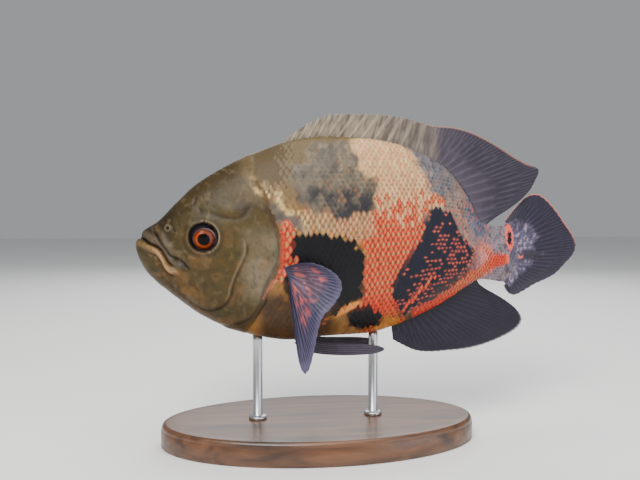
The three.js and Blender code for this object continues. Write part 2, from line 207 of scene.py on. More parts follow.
# ------------------------------------------------------------------ meshes and materials
def make_mesh(name, verts_mm, faces, colors=None, uv=None, smooth_shade=True):
    """verts in frame mm; faces as an array of quads or a list of arrays; colors linear rgb per vertex."""
    me = bpy.data.meshes.new(name)
    v = np.asarray(verts_mm, float) * 0.001
    fs = faces if isinstance(faces, list) else [faces]
    fs = [np.asarray(f, np.int32) for f in fs if len(f)]
    loops = np.concatenate([f.ravel() for f in fs])
    sizes = np.concatenate([np.full(len(f), f.shape[1], np.int32) for f in fs])
    starts = np.concatenate([[0], np.cumsum(sizes)[:-1]]).astype(np.int32)
    me.vertices.add(len(v)); me.vertices.foreach_set("co", v.astype(np.float32).ravel())
    me.loops.add(len(loops)); me.loops.foreach_set("vertex_index", loops)
    me.polygons.add(len(sizes)); me.polygons.foreach_set("loop_start", starts)
    me.polygons.foreach_set("loop_total", sizes)
    me.update(calc_edges=True); me.validate()
    if smooth_shade:
        me.polygons.foreach_set("use_smooth", np.ones(len(me.polygons), bool))
    if colors is not None:
        a = me.color_attributes.new("Col", "FLOAT_COLOR", "POINT")
        c = np.ones((len(v), 4), np.float32); c[:, :3] = np.clip(colors, 0, 1)
        a.data.foreach_set("color", c.ravel())
    if uv is not None:
        layer = me.uv_layers.new(name="OFBake")
        lv = np.zeros(len(me.loops), np.int32); me.loops.foreach_get("vertex_index", lv)
        layer.data.foreach_set("uv", np.asarray(uv, np.float32)[lv].ravel())
    ob = bpy.data.objects.new(name, me)
    bpy.context.scene.collection.objects.link(ob)
    return ob

def grid_faces(nu, nv, close_u=False, flip=False, base=0):
    i = np.arange(nu if close_u else nu - 1)[:, None]; j = np.arange(nv - 1)[None, :]
    i2 = (i + 1) % nu
    q = np.stack([i * nv + j, i2 * nv + j, i2 * nv + j + 1, i * nv + j + 1], -1).reshape(-1, 4) + base
    return q[:, ::-1] if flip else q

def material(name, rough=0.45, coat=0.0, coat_rough=0.2, spec=0.5, bumps=(), attr="Col", tint=None, metal=0.0,
             sss=0.0, mottling=0.0, mott_scale=300.0, alpha=None):
    """Principled material that takes its colour from the mesh's colours with fine procedural mottling,
    and its relief from a few noise layers (scale per metre, strength, distance in metres)."""
    m = bpy.data.materials.new(name); m.use_nodes = True
    nt = m.node_tree; b = nt.nodes["Principled BSDF"]
    b.inputs["Roughness"].default_value = rough
    b.inputs["Coat Weight"].default_value = coat
    b.inputs["Coat Roughness"].default_value = coat_rough
    b.inputs["Specular IOR Level"].default_value = spec
    b.inputs["Metallic"].default_value = metal
    if sss:
        b.inputs["Subsurface Weight"].default_value = sss
        b.inputs["Subsurface Radius"].default_value = (0.004, 0.002, 0.001)
        b.inputs["Subsurface Scale"].default_value = 0.5
    tc = nt.nodes.new("ShaderNodeTexCoord")
    if attr:
        at = nt.nodes.new("ShaderNodeAttribute"); at.attribute_name = attr
        col = at.outputs["Color"]
    else:
        rgb = nt.nodes.new("ShaderNodeRGB"); rgb.outputs[0].default_value = (*tint, 1)
        col = rgb.outputs[0]
    if mottling:
        nz = nt.nodes.new("ShaderNodeTexNoise"); nz.inputs["Scale"].default_value = mott_scale
        nz.inputs["Detail"].default_value = 5; nz.inputs["Roughness"].default_value = 0.6
        nt.links.new(tc.outputs["Object"], nz.inputs["Vector"])
        mr = nt.nodes.new("ShaderNodeMapRange")
        mr.inputs["From Min"].default_value = 0.3; mr.inputs["From Max"].default_value = 0.7
        mr.inputs["To Min"].default_value = 1 - mottling; mr.inputs["To Max"].default_value = 1 + mottling
        nt.links.new(nz.outputs["Fac"], mr.inputs["Value"])
        mul = nt.nodes.new("ShaderNodeVectorMath"); mul.operation = "SCALE"
        nt.links.new(col, mul.inputs[0]); nt.links.new(mr.outputs[0], mul.inputs["Scale"])
        col = mul.outputs[0]
    nt.links.new(col, b.inputs["Base Color"])
    prev = None
    for k, (scale, strength, dist) in enumerate(bumps):
        nz = nt.nodes.new("ShaderNodeTexNoise"); nz.inputs["Scale"].default_value = scale
        nz.inputs["Detail"].default_value = 3
        nt.links.new(tc.outputs["Object"], nz.inputs["Vector"])
        bp = nt.nodes.new("ShaderNodeBump"); bp.inputs["Strength"].default_value = strength
        bp.inputs["Distance"].default_value = dist
        nt.links.new(nz.outputs["Fac"], bp.inputs["Height"])
        if prev: nt.links.new(prev.outputs["Normal"], bp.inputs["Normal"])
        prev = bp
    if prev: nt.links.new(prev.outputs["Normal"], b.inputs["Normal"])
    return m

def dress(ob, mat, slot, *nodes):
    ob.data.materials.append(mat)
    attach(ob, "root")
    if nodes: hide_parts(*nodes)
    return ob

# ------------------------------------------------------------------ camera
CAM_AZ, CAM_EL, CAM_D, CAM_F = math.radians(-7.0), math.radians(2.0), 400.0, 640.0
target = np.array([0.0, 0.0, 125.0])
backv = np.array([math.sin(CAM_AZ) * math.cos(CAM_EL), -math.cos(CAM_AZ) * math.cos(CAM_EL), math.sin(CAM_EL)])
cam_data = bpy.data.cameras.new("camera"); cam = bpy.data.objects.new("camera", cam_data)
bpy.context.scene.collection.objects.link(cam)
cam_data.sensor_width = 36.0; cam_data.lens = 36.0 * CAM_F / 640.0
cam_data.clip_start = 0.01; cam_data.clip_end = 20
from mathutils import Vector
cam.location = Vector(((target + CAM_D * backv) * 0.001).tolist())
cam.rotation_euler = (Vector((-backv).tolist())).to_track_quat("-Z", "Y").to_euler()
bpy.context.scene.camera = cam

# ------------------------------------------------------------------ named lines of the head (s, z)
GAPE = curve_pts([(-1, 127.0), (2.7, 127.2), (5.4, 126.6), (9.1, 123.8), (13.5, 122.0), (16.1, 120.1), (18.6, 116.5), (21.1, 112.2), (24.1, 110.2)], 48)
LIP_CREASE = curve_pts([(9.4, 134.0), (11.3, 131.8), (14.4, 127.2), (17.0, 123.2), (19.9, 119.6), (22.3, 116.6), (25.4, 115.0), (27.9, 113.4), (30.9, 110.5), (34.0, 107.7)], 44)
LOW_LIP = curve_pts([(0.4, 123.0), (3.7, 123.4), (9.1, 121.6), (12.9, 119.6), (16.0, 117.0), (17.8, 114.2), (19.4, 110.8), (22.2, 107.8), (25.3, 107.5)], 44)
LOW_CREASE = curve_pts([(5.4, 118.2), (8.4, 118.2), (11.0, 116.9), (12.9, 116.5), (15.4, 113.6), (16.9, 110.4), (18.6, 107.4), (21.6, 105.0), (25.4, 105.2)], 40)
CHIN_CREASE = curve_pts([(8.5, 111.0), (14.5, 106.6), (22.6, 98.6), (33.0, 90.2), (41.8, 86.2)], 30)
TEMPLE = curve_pts([(37.4, 146.4), (40.1, 142.4), (46.0, 140.9), (52.9, 139.0), (60.4, 138.6), (65.6, 140.8), (67.6, 147.3)], 30)
TEMPLE_TICK = [(35.1, 146.0), (36.6, 152.0)]
BROW = curve_pts([(26.0, 141.2), (29.8, 143.2), (34, 143.0)], 12)
CHEEK_FOLD = curve_pts([(29.5, 120.5), (31.5, 114), (36, 109), (43, 107.5), (50, 110)], 20)
PREOP = curve_pts([(66.0, 127.0), (66.4, 119.1), (64.1, 113.0), (60.6, 105.7), (57.7, 97.6), (56.5, 92.0), (52.4, 86.4), (44.6, 83.6), (36.0, 87.0), (27.2, 95.1)], 50)
OPERCLE = curve_pts([(70.5, 150.0), (77.8, 144.0), (82.1, 135.6), (85.0, 126.4), (85.5, 116.6), (81.9, 107.3), (77.2, 98.5), (75.1, 89.4), (70.4, 81.0), (61.5, 75.6), (48, 72.5)], 60)
BRANCH = [curve_pts([(70 - 7 * k, 79 - 1.5 * k), (58 - 7 * k, 73.6), (46 - 6 * k, 74.6 + 2.0 * k), (33 - 3 * k, 82 + 2.5 * k)], 20) for k in range(3)]
NOSTRIL = (20.2, 132.8)
PIT_A, PIT_B = (24.0, 131.6), (21.8, 137.2)
HEAD_REAR = [(-8, 205), (66, 205), (69, 182), (72, 160), (78.5, 146.4), (83.7, 134.9), (86.6, 126),
             (87.1, 115.8), (83.5, 106.4), (79.3, 97.4), (76.6, 88.3), (71.5, 79.6), (66, 72), (64, 50), (-8, 50)]

# ------------------------------------------------------------------ named marks of the flank (s, z)
BLACK1 = [(88.5, 130.0), (104, 131.0), (118, 129.5), (131.7, 124.4), (136.5, 113.7), (136.6, 108.9), (134.4, 100.5), (133.5, 91.3),
          (122.9, 83.8), (110.1, 73.2), (100.0, 76.1), (90.9, 92), (86.5, 106.5), (88.6, 118)]
STRIPE = [(105.7, 72.0), (112, 77.4), (120.3, 81.6), (130.0, 86.2)]
OR_COL = [(132.9, 127.9), (137.6, 115.9), (136.6, 106.9), (133.5, 91.3), (129.1, 84.3), (131.8, 75.4), (147.3, 60.3), (162.5, 62.4), (161.3, 79.3),
          (153.0, 90.5), (156.1, 101.0), (165.1, 118.0), (174.5, 132.6), (172.7, 142.6), (154.5, 143.6), (140.1, 142.0)]
BELLYPATCH = [(127.5, 84.0), (137.6, 86.5), (146.4, 82.2), (148.4, 73.5), (137.5, 69.3), (126.4, 72.8)]
BEIGE_ROWS = [(94.2, 141.9), (115.2, 142.5), (140.1, 141.9), (141.5, 127.9), (131, 125.0), (115.0, 128.8), (94.1, 130.8)]
SADDLE = [(100.6, 181.8), (111.0, 186.2), (126.4, 185.8), (133.6, 177.1), (137.6, 164.7), (141.8, 152.6), (142.9, 144.5), (127.1, 139.3),
          (112.1, 139.3), (101.5, 145.4), (95.0, 156.2), (95.0, 170.4)]
PALEBAND = [(132.7, 190), (134.8, 174.0), (141.2, 160.5), (143.6, 144.6), (154.5, 141.8), (174.1, 141.8), (188.6, 146.9), (183.1, 151.8),
            (175.7, 162.4), (169.2, 174.9), (164.9, 186.4), (149.3, 196)]
GREY2 = [(169.1, 186.6), (184.6, 182.4), (195.3, 175.0), (197.6, 161.7), (193.9, 152.0), (184.9, 151.5), (176.4, 161.4), (170.3, 172.7)]
NAVY3 = [(176.2, 142.9), (184, 146.5), (192.1, 143.5), (199.3, 131.9), (209.9, 119.1), (209.6, 108.8), (198.2, 101.5), (183.2, 95.5), (173.7, 84.2),
         (160.1, 74.1), (152.8, 90.8), (155.1, 101.0), (163.1, 116.0), (172.5, 130.6)]
BLUEGREY = [(209.4, 157.8), (216, 152), (222.7, 143.0), (224.8, 132.1), (221.4, 124.6), (212.7, 125.8), (203.7, 141.7)]
DIAG1 = [(162.1, 80.6), (170.0, 91.0), (181.6, 103.2)]
DIAG2 = [(174.8, 78.1), (192.4, 87.4), (210.4, 99.4), (228.7, 110.8), (238, 112)]
CREAMBAND = [(65.5, 170.0), (69.5, 164.0), (75.8, 156.6), (82.2, 150.7), (88.0, 145.0), (93.7, 140.7), (99.4, 137.2)]
GILLFLAP = [(77.7, 147.3), (84, 146), (90.9, 141.1), (96.6, 137.4), (97.5, 130.6), (87.9, 129.0), (83.1, 134.1)]
GILLBAND = [(87.6, 133.4), (89.0, 127.4), (89.4, 121.4), (88.8, 116.0), (86.7, 110.0), (83.0, 103.2), (78.5, 96.7), (76.2, 90.4)]
PECLINE = [(84.5, 104.7), (91.3, 108.4), (94.9, 113.1)]

C_HEAD = srgb(68, 55, 30); C_FORE = srgb(46, 35, 15); C_SNOUT = srgb(24, 18, 9); C_CHIN = srgb(60, 40, 14); C_LIP = srgb(140, 106, 64)
C_COVER = srgb(104, 93, 76); C_NAPE = srgb(94, 77, 48); C_GREY = srgb(114, 102, 84); C_DKGREY = srgb(42, 40, 43)
C_PALE = srgb(210, 168, 120); C_OR = srgb(216, 62, 28); C_BLACK = srgb(6, 6, 10); C_YEL = srgb(168, 104, 34)
C_BEIGE = srgb(158, 126, 90); C_NAVY = srgb(12, 14, 30); C_BLUEG = srgb(84, 88, 108); C_PED = srgb(118, 108, 116)
C_THROAT = srgb(74, 56, 36)

def skin_colour(s, z, side, fine=1.0):
    """Colour of the skin at a point of the flank: markings as named shapes with wavering edges.
    side is -1 on the left, which the photo shows, and +1 on the right."""
    sd = 40.0 if side > 0 else 0.0
    ws = s + 2.2 * noise(s / 9 + sd, z / 9, 3) + 0.8 * noise(s / 3.1 + sd, z / 3.1, 4)
    wz = z + 2.2 * noise(s / 9 + sd, z / 9, 5) + 0.8 * noise(s / 3.1 + sd, z / 3.1, 6)
    if side > 0:      # the hidden flank has the same marks, a little shifted as in life
        ws = ws - 2.5 + 3.5 * noise(s / 24 + 9, z / 24, 31); wz = wz + 3.0 * noise(s / 24 + 3, z / 24, 32)
    soft = lambda pts, w=1.2: smooth(0.5 - poly_sd(pts, ws, wz) / (2 * w))
    n1 = fbm(s / 14 + sd, z / 14, 11, 4); n2 = fbm(s / 5 + sd, z / 5, 12, 3)
    rs = ws + 4.5 * noise(s / 6 + sd, z / 6, 7) + 2.0 * noise(s / 2.6 + sd, z / 2.6, 8)
    rz = wz + 4.5 * noise(s / 6 + sd, z / 6, 9) + 2.0 * noise(s / 2.6 + sd, z / 2.6, 10)
    rough = lambda pts, w=1.2: smooth(0.5 - poly_sd(pts, rs, rz) / (2 * w))      # blotched edges of the back's patches
    # ground colour of trunk: brownish grey-cream above, yellow-brown below
    up = smooth((z - 118) / 50)
    c = mix(np.broadcast_to(srgb(132, 92, 48), s.shape + (3,)), np.broadcast_to(C_NAPE, s.shape + (3,)), up)
    rear = smooth((s - 158) / 16)
    c = mix(c, srgb(128, 106, 98), rear * smooth((z - 112) / 8) * 0.9)
    c = mix(c, srgb(24, 22, 36), rear * smooth((116 - z) / 6) * 0.9)
    c = mix(c, C_PALE, rough(PALEBAND, 2.6) * 0.80)
    c = mix(c, C_OR, soft(OR_COL, 2.0))
    # the orange turns to ochre low on the belly
    c = mix(c, C_YEL, soft(OR_COL, 3) * smooth((86 - wz) / 12))
    c = mix(c, C_BEIGE, soft(BEIGE_ROWS, 2.2) * 0.9)
    c = mix(c, C_GREY, rough(SADDLE, 3.2) * 0.85)
    c = mix(c, srgb(74, 68, 64), rough(SADDLE, 3.2) * smooth((fbm(s / 4 + sd, z / 4, 19, 3) + 0.12) / 0.35) * 0.55)
    c = mix(c, C_DKGREY, rough(SADDLE, 3.0) * smooth((172 - wz) / 24) * (0.72 + 0.8 * n2))
    c = mix(c, C_DKGREY, soft(SADDLE, 3.0) * smooth((n2 - 0.05) / 0.3) * 0.35)
    c = mix(c, srgb(96, 94, 102), rough(GREY2, 2.4) * (0.8 + 0.3 * n2))
    c = mix(c, C_BLUEG, soft(BLUEGREY, 2.4) * 0.9)
    ped = smooth((ws - 205) / 14) * (1 - soft(BLUEGREY, 2.0))
    c = mix(c, C_PED, ped)
    c = mix(c, srgb(52, 48, 62), ped * smooth((n2 + 0.05) / 0.35) * 0.65)
    c = mix(c, srgb(92, 84, 110), smooth((s - 240) / 10) * 0.7)
    c = mix(c, srgb(176, 140, 140), ped * smooth((fbm(s / 2.4, z / 2.4, 18, 2) - 0.1) / 0.3) * 0.35)
    c = mix(c, srgb(236, 124, 96), ped * smooth((126 - wz) / 10) * smooth((wz - 97) / 8) * smooth((232 - ws) / 8) * (0.6 + 0.5 * n2))
    c = mix(c, C_BLACK, soft(BELLYPATCH, 1.6))
    c = mix(c, C_NAVY, soft(NAVY3, 1.8))
    d, _, al = line_d(DIAG1, ws, wz); c = mix(c, C_OR, smooth((2.2 - d) / 1.6))
    d, _, al = line_d(DIAG2, ws, wz); c = mix(c, C_OR, smooth((4.8 - d) / 2.0))
    c = mix(c, C_BLACK, soft(BLACK1, 1.6))
    d, _, al = line_d(STRIPE, ws, wz); c = mix(c, srgb(222, 140, 62), smooth((2.6 - d) / 1.6))
    # belly under the black patch and behind the throat
    low = smooth((100 - z + 8 * n2) / 14) * smooth((s - 70) / 8) * smooth((126 - s) / 14)
    c = mix(c, srgb(46, 34, 24), low * 0.88)
    c = mix(c, srgb(112, 72, 32), low * smooth((n1 + 0.1) / 0.6) * 0.40)
    # head
    hd = smooth(0.5 - poly_sd(HEAD_REAR, s, z) / 5.0)
    h = np.broadcast_to(C_HEAD, s.shape + (3,))
    h = mix(h, C_FORE, smooth((z - 134 - 0.30 * (s - 40)) / 30) * (0.75 + 0.25 * n1))
    h = mix(h, C_NAPE, smooth((s - 52) / 26) * smooth((z - 142) / 16))
    h = mix(h, C_SNOUT, smooth((34 - s) / 20) * smooth((z - 114) / 10) * 0.85)
    h = mix(h, C_CHIN, smooth((112 - z) / 18) * smooth((60 - s) / 34) * 0.85)
    h = mix(h, srgb(128, 92, 52), smooth((105 - z) / 12) * smooth((52 - s) / 20) * smooth((n2 + 0.1) / 0.5) * 0.45)
    h = mix(h, C_COVER, smooth((s - 58) / 14) * smooth((138 - z) / 14) * smooth((z - 84) / 14) * 0.9)
    h = mix(h, C_THROAT, smooth((86 - z) / 12) * smooth((s - 34) / 25) * 0.75)
    h = mix(h, srgb(48, 38, 32), smooth(1.1 - np.hypot((s - 64) / 6.5, (z - 145) / 9)) * 0.60)
    h = mix(h, srgb(70, 58, 40), smooth(1 - np.hypot((s - 42) / 12, (z - 147) / 6)) * 0.30)
    h = h * (1 + 0.20 * n1 + 0.16 * n2)[..., None]
    h = mix(h, srgb(112, 80, 46), smooth((fbm(s / 7 + sd, z / 7, 15, 3) - 0.08) / 0.3) * 0.38 * smooth((140 - z) / 30))
    h = mix(h, srgb(58, 54, 34), smooth((fbm(s / 9 + sd, z / 9, 16, 3) - 0.05) / 0.3) * 0.40)
    h = h * np.array([1.0, 1.0, 1.0]) * (1 + 0.06 * fbm(s / 1.8 + sd, z / 1.8, 14, 2))[..., None]
    c = mix(c, h, hd)
    nape = smooth((s - 60) / 24) * smooth((z - 150) / 12) * (1 - hd)
    d, _, _ = line_d(CREAMBAND, ws, wz); c = mix(c, srgb(196, 164, 108), smooth((5.0 - d) / 4.2) * np.clip(0.45 + 1.6 * fbm(s / 2.2 + sd, z / 2.2, 17, 2), 0, 1) * smooth((s - 64) / 8) * smooth((168 - z) / 14))
    c = mix(c, srgb(80, 76, 74), soft(GILLFLAP, 2.0) * 0.85)
    d, _, _ = line_d(GILLBAND, ws, wz)
    c = mix(c, srgb(236, 92, 58), smooth((4.0 - d) / 2.4) * smooth((s - 84) / 3) * (0.85 + 0.3 * n2))
    c = mix(c, srgb(214, 120, 92), smooth((1.6 - d) / 1.4) * 0.8 * (1 - smooth((s - 84) / 3)))
    d, _, _ = line_d(PECLINE, ws, wz); c = mix(c, srgb(232, 120, 96), smooth((1.4 - d) / 1.0) * 0.9)
    c = c * (1 + fine * (0.08 * n1 + 0.05 * n2))[..., None]
    return np.clip(c, 0, 1)

# ------------------------------------------------------------------ relief of the head
def head_relief(s, z):
    """Outward movement of the skin in mm at a place of the side view: lips, folds, grooves, gill covers."""
    h = np.zeros_like(s)
    hd = smooth(0.5 - poly_sd(HEAD_REAR, s, z) / 4.0)
    # mouth: a deep line between a broad upper lip and a rolled lower one
    d, side, al = line_d(GAPE, s, z)
    h -= 2.0 * bump(d, 0.6) * (0.2 + 0.8 * smooth((1.0 - al) / 0.08)) * (0.35 + 0.65 * smooth((al - 0.05) / 0.2))
    up = side > 0
    h += np.where(up, 0.95 * bump(d - 3.2, 2.4), 0) * smooth((1.02 - al) / 0.1)
    d, side, al = line_d(LOW_LIP, s, z)
    h += 1.5 * bump(d, 1.7) * smooth((1.04 - al) / 0.12) * smooth((al + 0.02) / 0.30)
    d, side, al = line_d(LOW_CREASE, s, z)
    h -= 1.1 * bump(d, 0.85) * smooth(al / 0.25) * smooth((1.03 - al) / 0.12)
    d, side, al = line_d(LIP_CREASE, s, z)
    h -= 1.35 * bump(d, 0.62 + 0.35 * smooth((al - 0.5) / 0.3)) * smooth(al / 0.10) * smooth((1.02 - al) / 0.18)
    h += 0.5 * bump(d - 2.4, 1.8) * (side > 0) * smooth(al / 0.2) * smooth((1 - al) / 0.3)
    h -= 0.55 * bump(np.hypot(s - 27.5, z - 112.8) / 1.0, 2.4)
    d, side, al = line_d(CHIN_CREASE, s, z)
    h -= 0.35 * bump(d, 0.9) * smooth(al / 0.2) * smooth((1 - al) / 0.3)
    # eye: a sunk socket with a soft raised rim
    ex, ez = s - EYE_S, z - EYE_Z
    r = np.hypot(ex, ez); ang = np.arctan2(ez, -ex)
    h += 0.55 * bump(r - 9.7, 1.1)
    h += 0.6 * bump(r - 11.8, 2.4) * np.clip(np.sin(ang), 0, 1)
    h -= 3.0 * smooth((9.0 - r) / 1.1)
    h -= 7.0 * smooth((6.4 - r) / 2.0)
    h -= 0.45 * bump(r - 12.6, 0.7) * smooth((-np.sin(ang) + 0.2) / 0.6)
    # nostril tube and pores
    r = np.hypot(s - NOSTRIL[0], z - NOSTRIL[1])
    h += 0.8 * bump(r - 1.3, 0.6) - 1.5 * bump(r, 0.65)
    for (a, b), k in ((PIT_A, 0.9), (PIT_B, 0.6), ((30.5, 117.5), .4), ((35.5, 113.8), .4), ((29.2, 108.2), .4), ((34.8, 103.0), .4),
                      ((40.0, 92.5), .4), ((33, 96.6), .4), ((52.5, 99), .4), ((50.2, 92.4), .4), ((55.6, 107.4), .4), ((47.6, 144.6), .4), ((28.5, 147.6), .4)):
        h -= k * bump(np.hypot(s - a, z - b), 0.55)
    d, side, al = line_d(TEMPLE, s, z); e = smooth(al / 0.12) * smooth((1 - al) / 0.12)
    h -= 0.26 * bump(d, 1.1) * e
    h += 0.30 * bump(d - 5.4, 3.8) * (side > 0) * e
    for ln, k, w in ((TEMPLE_TICK, 0.3, 0.8), (BROW, 0.35, 0.9), (CHEEK_FOLD, 0.2, 1.2)):
        d, side, al = line_d(ln, s, z); h -= k * bump(d, w) * smooth(al / 0.15) * smooth((1 - al) / 0.15)
    # preopercle: cheek stands proud in front of a groove
    d, side, al = line_d(PREOP, s, z); e = smooth(al / 0.08) * smooth((1 - al) / 0.25)
    front = side > 0
    h -= 0.95 * bump(d, 0.7) * e
    h += np.where(s < 66, 0.7 * bump(d - 2.4, 2.2), 0) * e * (side < 0)
    # rear edge of the gill cover, a soft flap over the shoulder
    d, side, al = line_d(OPERCLE, s, z); e = smooth(al / 0.06) * smooth((1 - al) / 0.12)
    sd = poly_sd(HEAD_REAR, s, z)
    behind = sd > 0
    h += np.where(behind, -1.5 * bump(d, 1.5), 0.55 * bump(d - 1.4, 1.8)) * e
    for ln in BRANCH:
        d, _, al = line_d(ln, s, z); h -= 0.4 * bump(d, 0.8) * smooth(al / 0.2) * smooth((1 - al) / 0.2)
    # very light unevenness of bare skin
    h += hd * (0.22 * fbm(s / 5.5, z / 5.5, 71, 3) + 0.07 * fbm(s / 1.3, z / 1.3, 72, 2))
    return h

def bare(s, z):
    """1 on the bare head, 0 where scales cover the body."""
    return smooth(0.5 - poly_sd(HEAD_REAR, s, z) / 3.0)

# ------------------------------------------------------------------ skin
def build_skin():
    # rings: fine over the head, wider under the scales
    s_head = 92.0 * np.linspace(0, 1, 226) ** 1.45
    s_body = np.linspace(92.0, SKIN_END, 104)[1:]
    sv = np.concatenate([s_head[1:], s_body])
    sv = np.concatenate([[0.02], sv])
    na = 296
    # around: evenly spaced lines
    t = np.linspace(0, 2 * np.pi, na, endpoint=False)
    a = t
    S = np.repeat(sv[:, None], na, 1); A = np.repeat(a[None, :], len(sv), 0)
    Y, Z = section(S, A)
    # close the tail end softly
    f = np.sqrt(np.clip(1 - np.clip((S - (SKIN_END - 12)) / 12.0, 0, 1) ** 2, 0.0004, 1))
    zm = (prof(1, S) + prof(2, S)) / 2
    # outward direction in the section plane and along the body, by differences
    P = np.stack([S, Y, Z], -1)
    dS = np.gradient(P, axis=0); dA = np.stack([np.gradient(np.concatenate([P[:, -2:, k], P[:, :, k], P[:, :2, k]], 1), axis=1)[:, 2:-2] for k in range(3)], -1)
    N = np.cross(dA, dS); N /= np.maximum(np.linalg.norm(N, axis=-1, keepdims=True), 1e-9)
    cen = np.stack([S, 0 * S, prof(4, S)], -1)
    sg = np.sign(np.sum(N * (P - cen), -1, keepdims=True)); N = N * np.where(sg == 0, 1, sg)
    rel = head_relief(S, Z)
    mid = smooth(np.abs(Y) / 3.0)      # side marks fade out on the mid line, except the mouth
    d, _, _ = line_d(GAPE, S, Z)
    keep = np.maximum(mid, bump(d, 6.0))
    inset = SKIN_IN * (1 - bare(S, Z)) + HEAD_IN * bare(S, Z)
    h = rel * keep - inset
    nose = smooth(S / 1.5)
    P = P + N * (h * (0.25 + 0.75 * nose))[..., None]
    P[..., 1] *= f; P[..., 2] = zm + (P[..., 2] - zm) * f
    V = place(P[..., 0], P[..., 1], P[..., 2]).reshape(-1, 3)
    n = len(sv)
    faces = grid_faces(n, na)
    wrap = np.stack([np.arange(n - 1) * na + na - 1, (np.arange(n - 1) + 1) * na + na - 1, (np.arange(n - 1) + 1) * na, np.arange(n - 1) * na], -1)
    faces = np.concatenate([faces, wrap])
    c0, c1 = len(V), len(V) + 1
    V = np.concatenate([V, V[:na].mean(0)[None], V[(n - 1) * na:n * na].mean(0)[None]])
    k = np.arange(na)
    cap = np.concatenate([np.stack([np.full(na, c0), k, (k + 1) % na], -1),
                          np.stack([np.full(na, c1), (n - 1) * na + (k + 1) % na, (n - 1) * na + k], -1)])
    # colour
    colL = skin_colour(S, Z, -1); colR = skin_colour(S, Z, 1)
    t = smooth(0.5 + Y / 3.0)
    C = mix(colL, colR, t)
    C = face_colour(C, S, Z, h)
    C = ocellus(C, S, Z)
    # painted shade: the skin under the scales is darkened, as it shows only in the gaps between them
    C = C * (0.62 + 0.38 * bare(S, Z))[..., None]
    C = C.reshape(-1, 3); C = np.concatenate([C, C[:na].mean(0)[None], C[(n - 1) * na:n * na].mean(0)[None]])
    ob = make_mesh("skin", V, [faces, cap], C)
    return ob

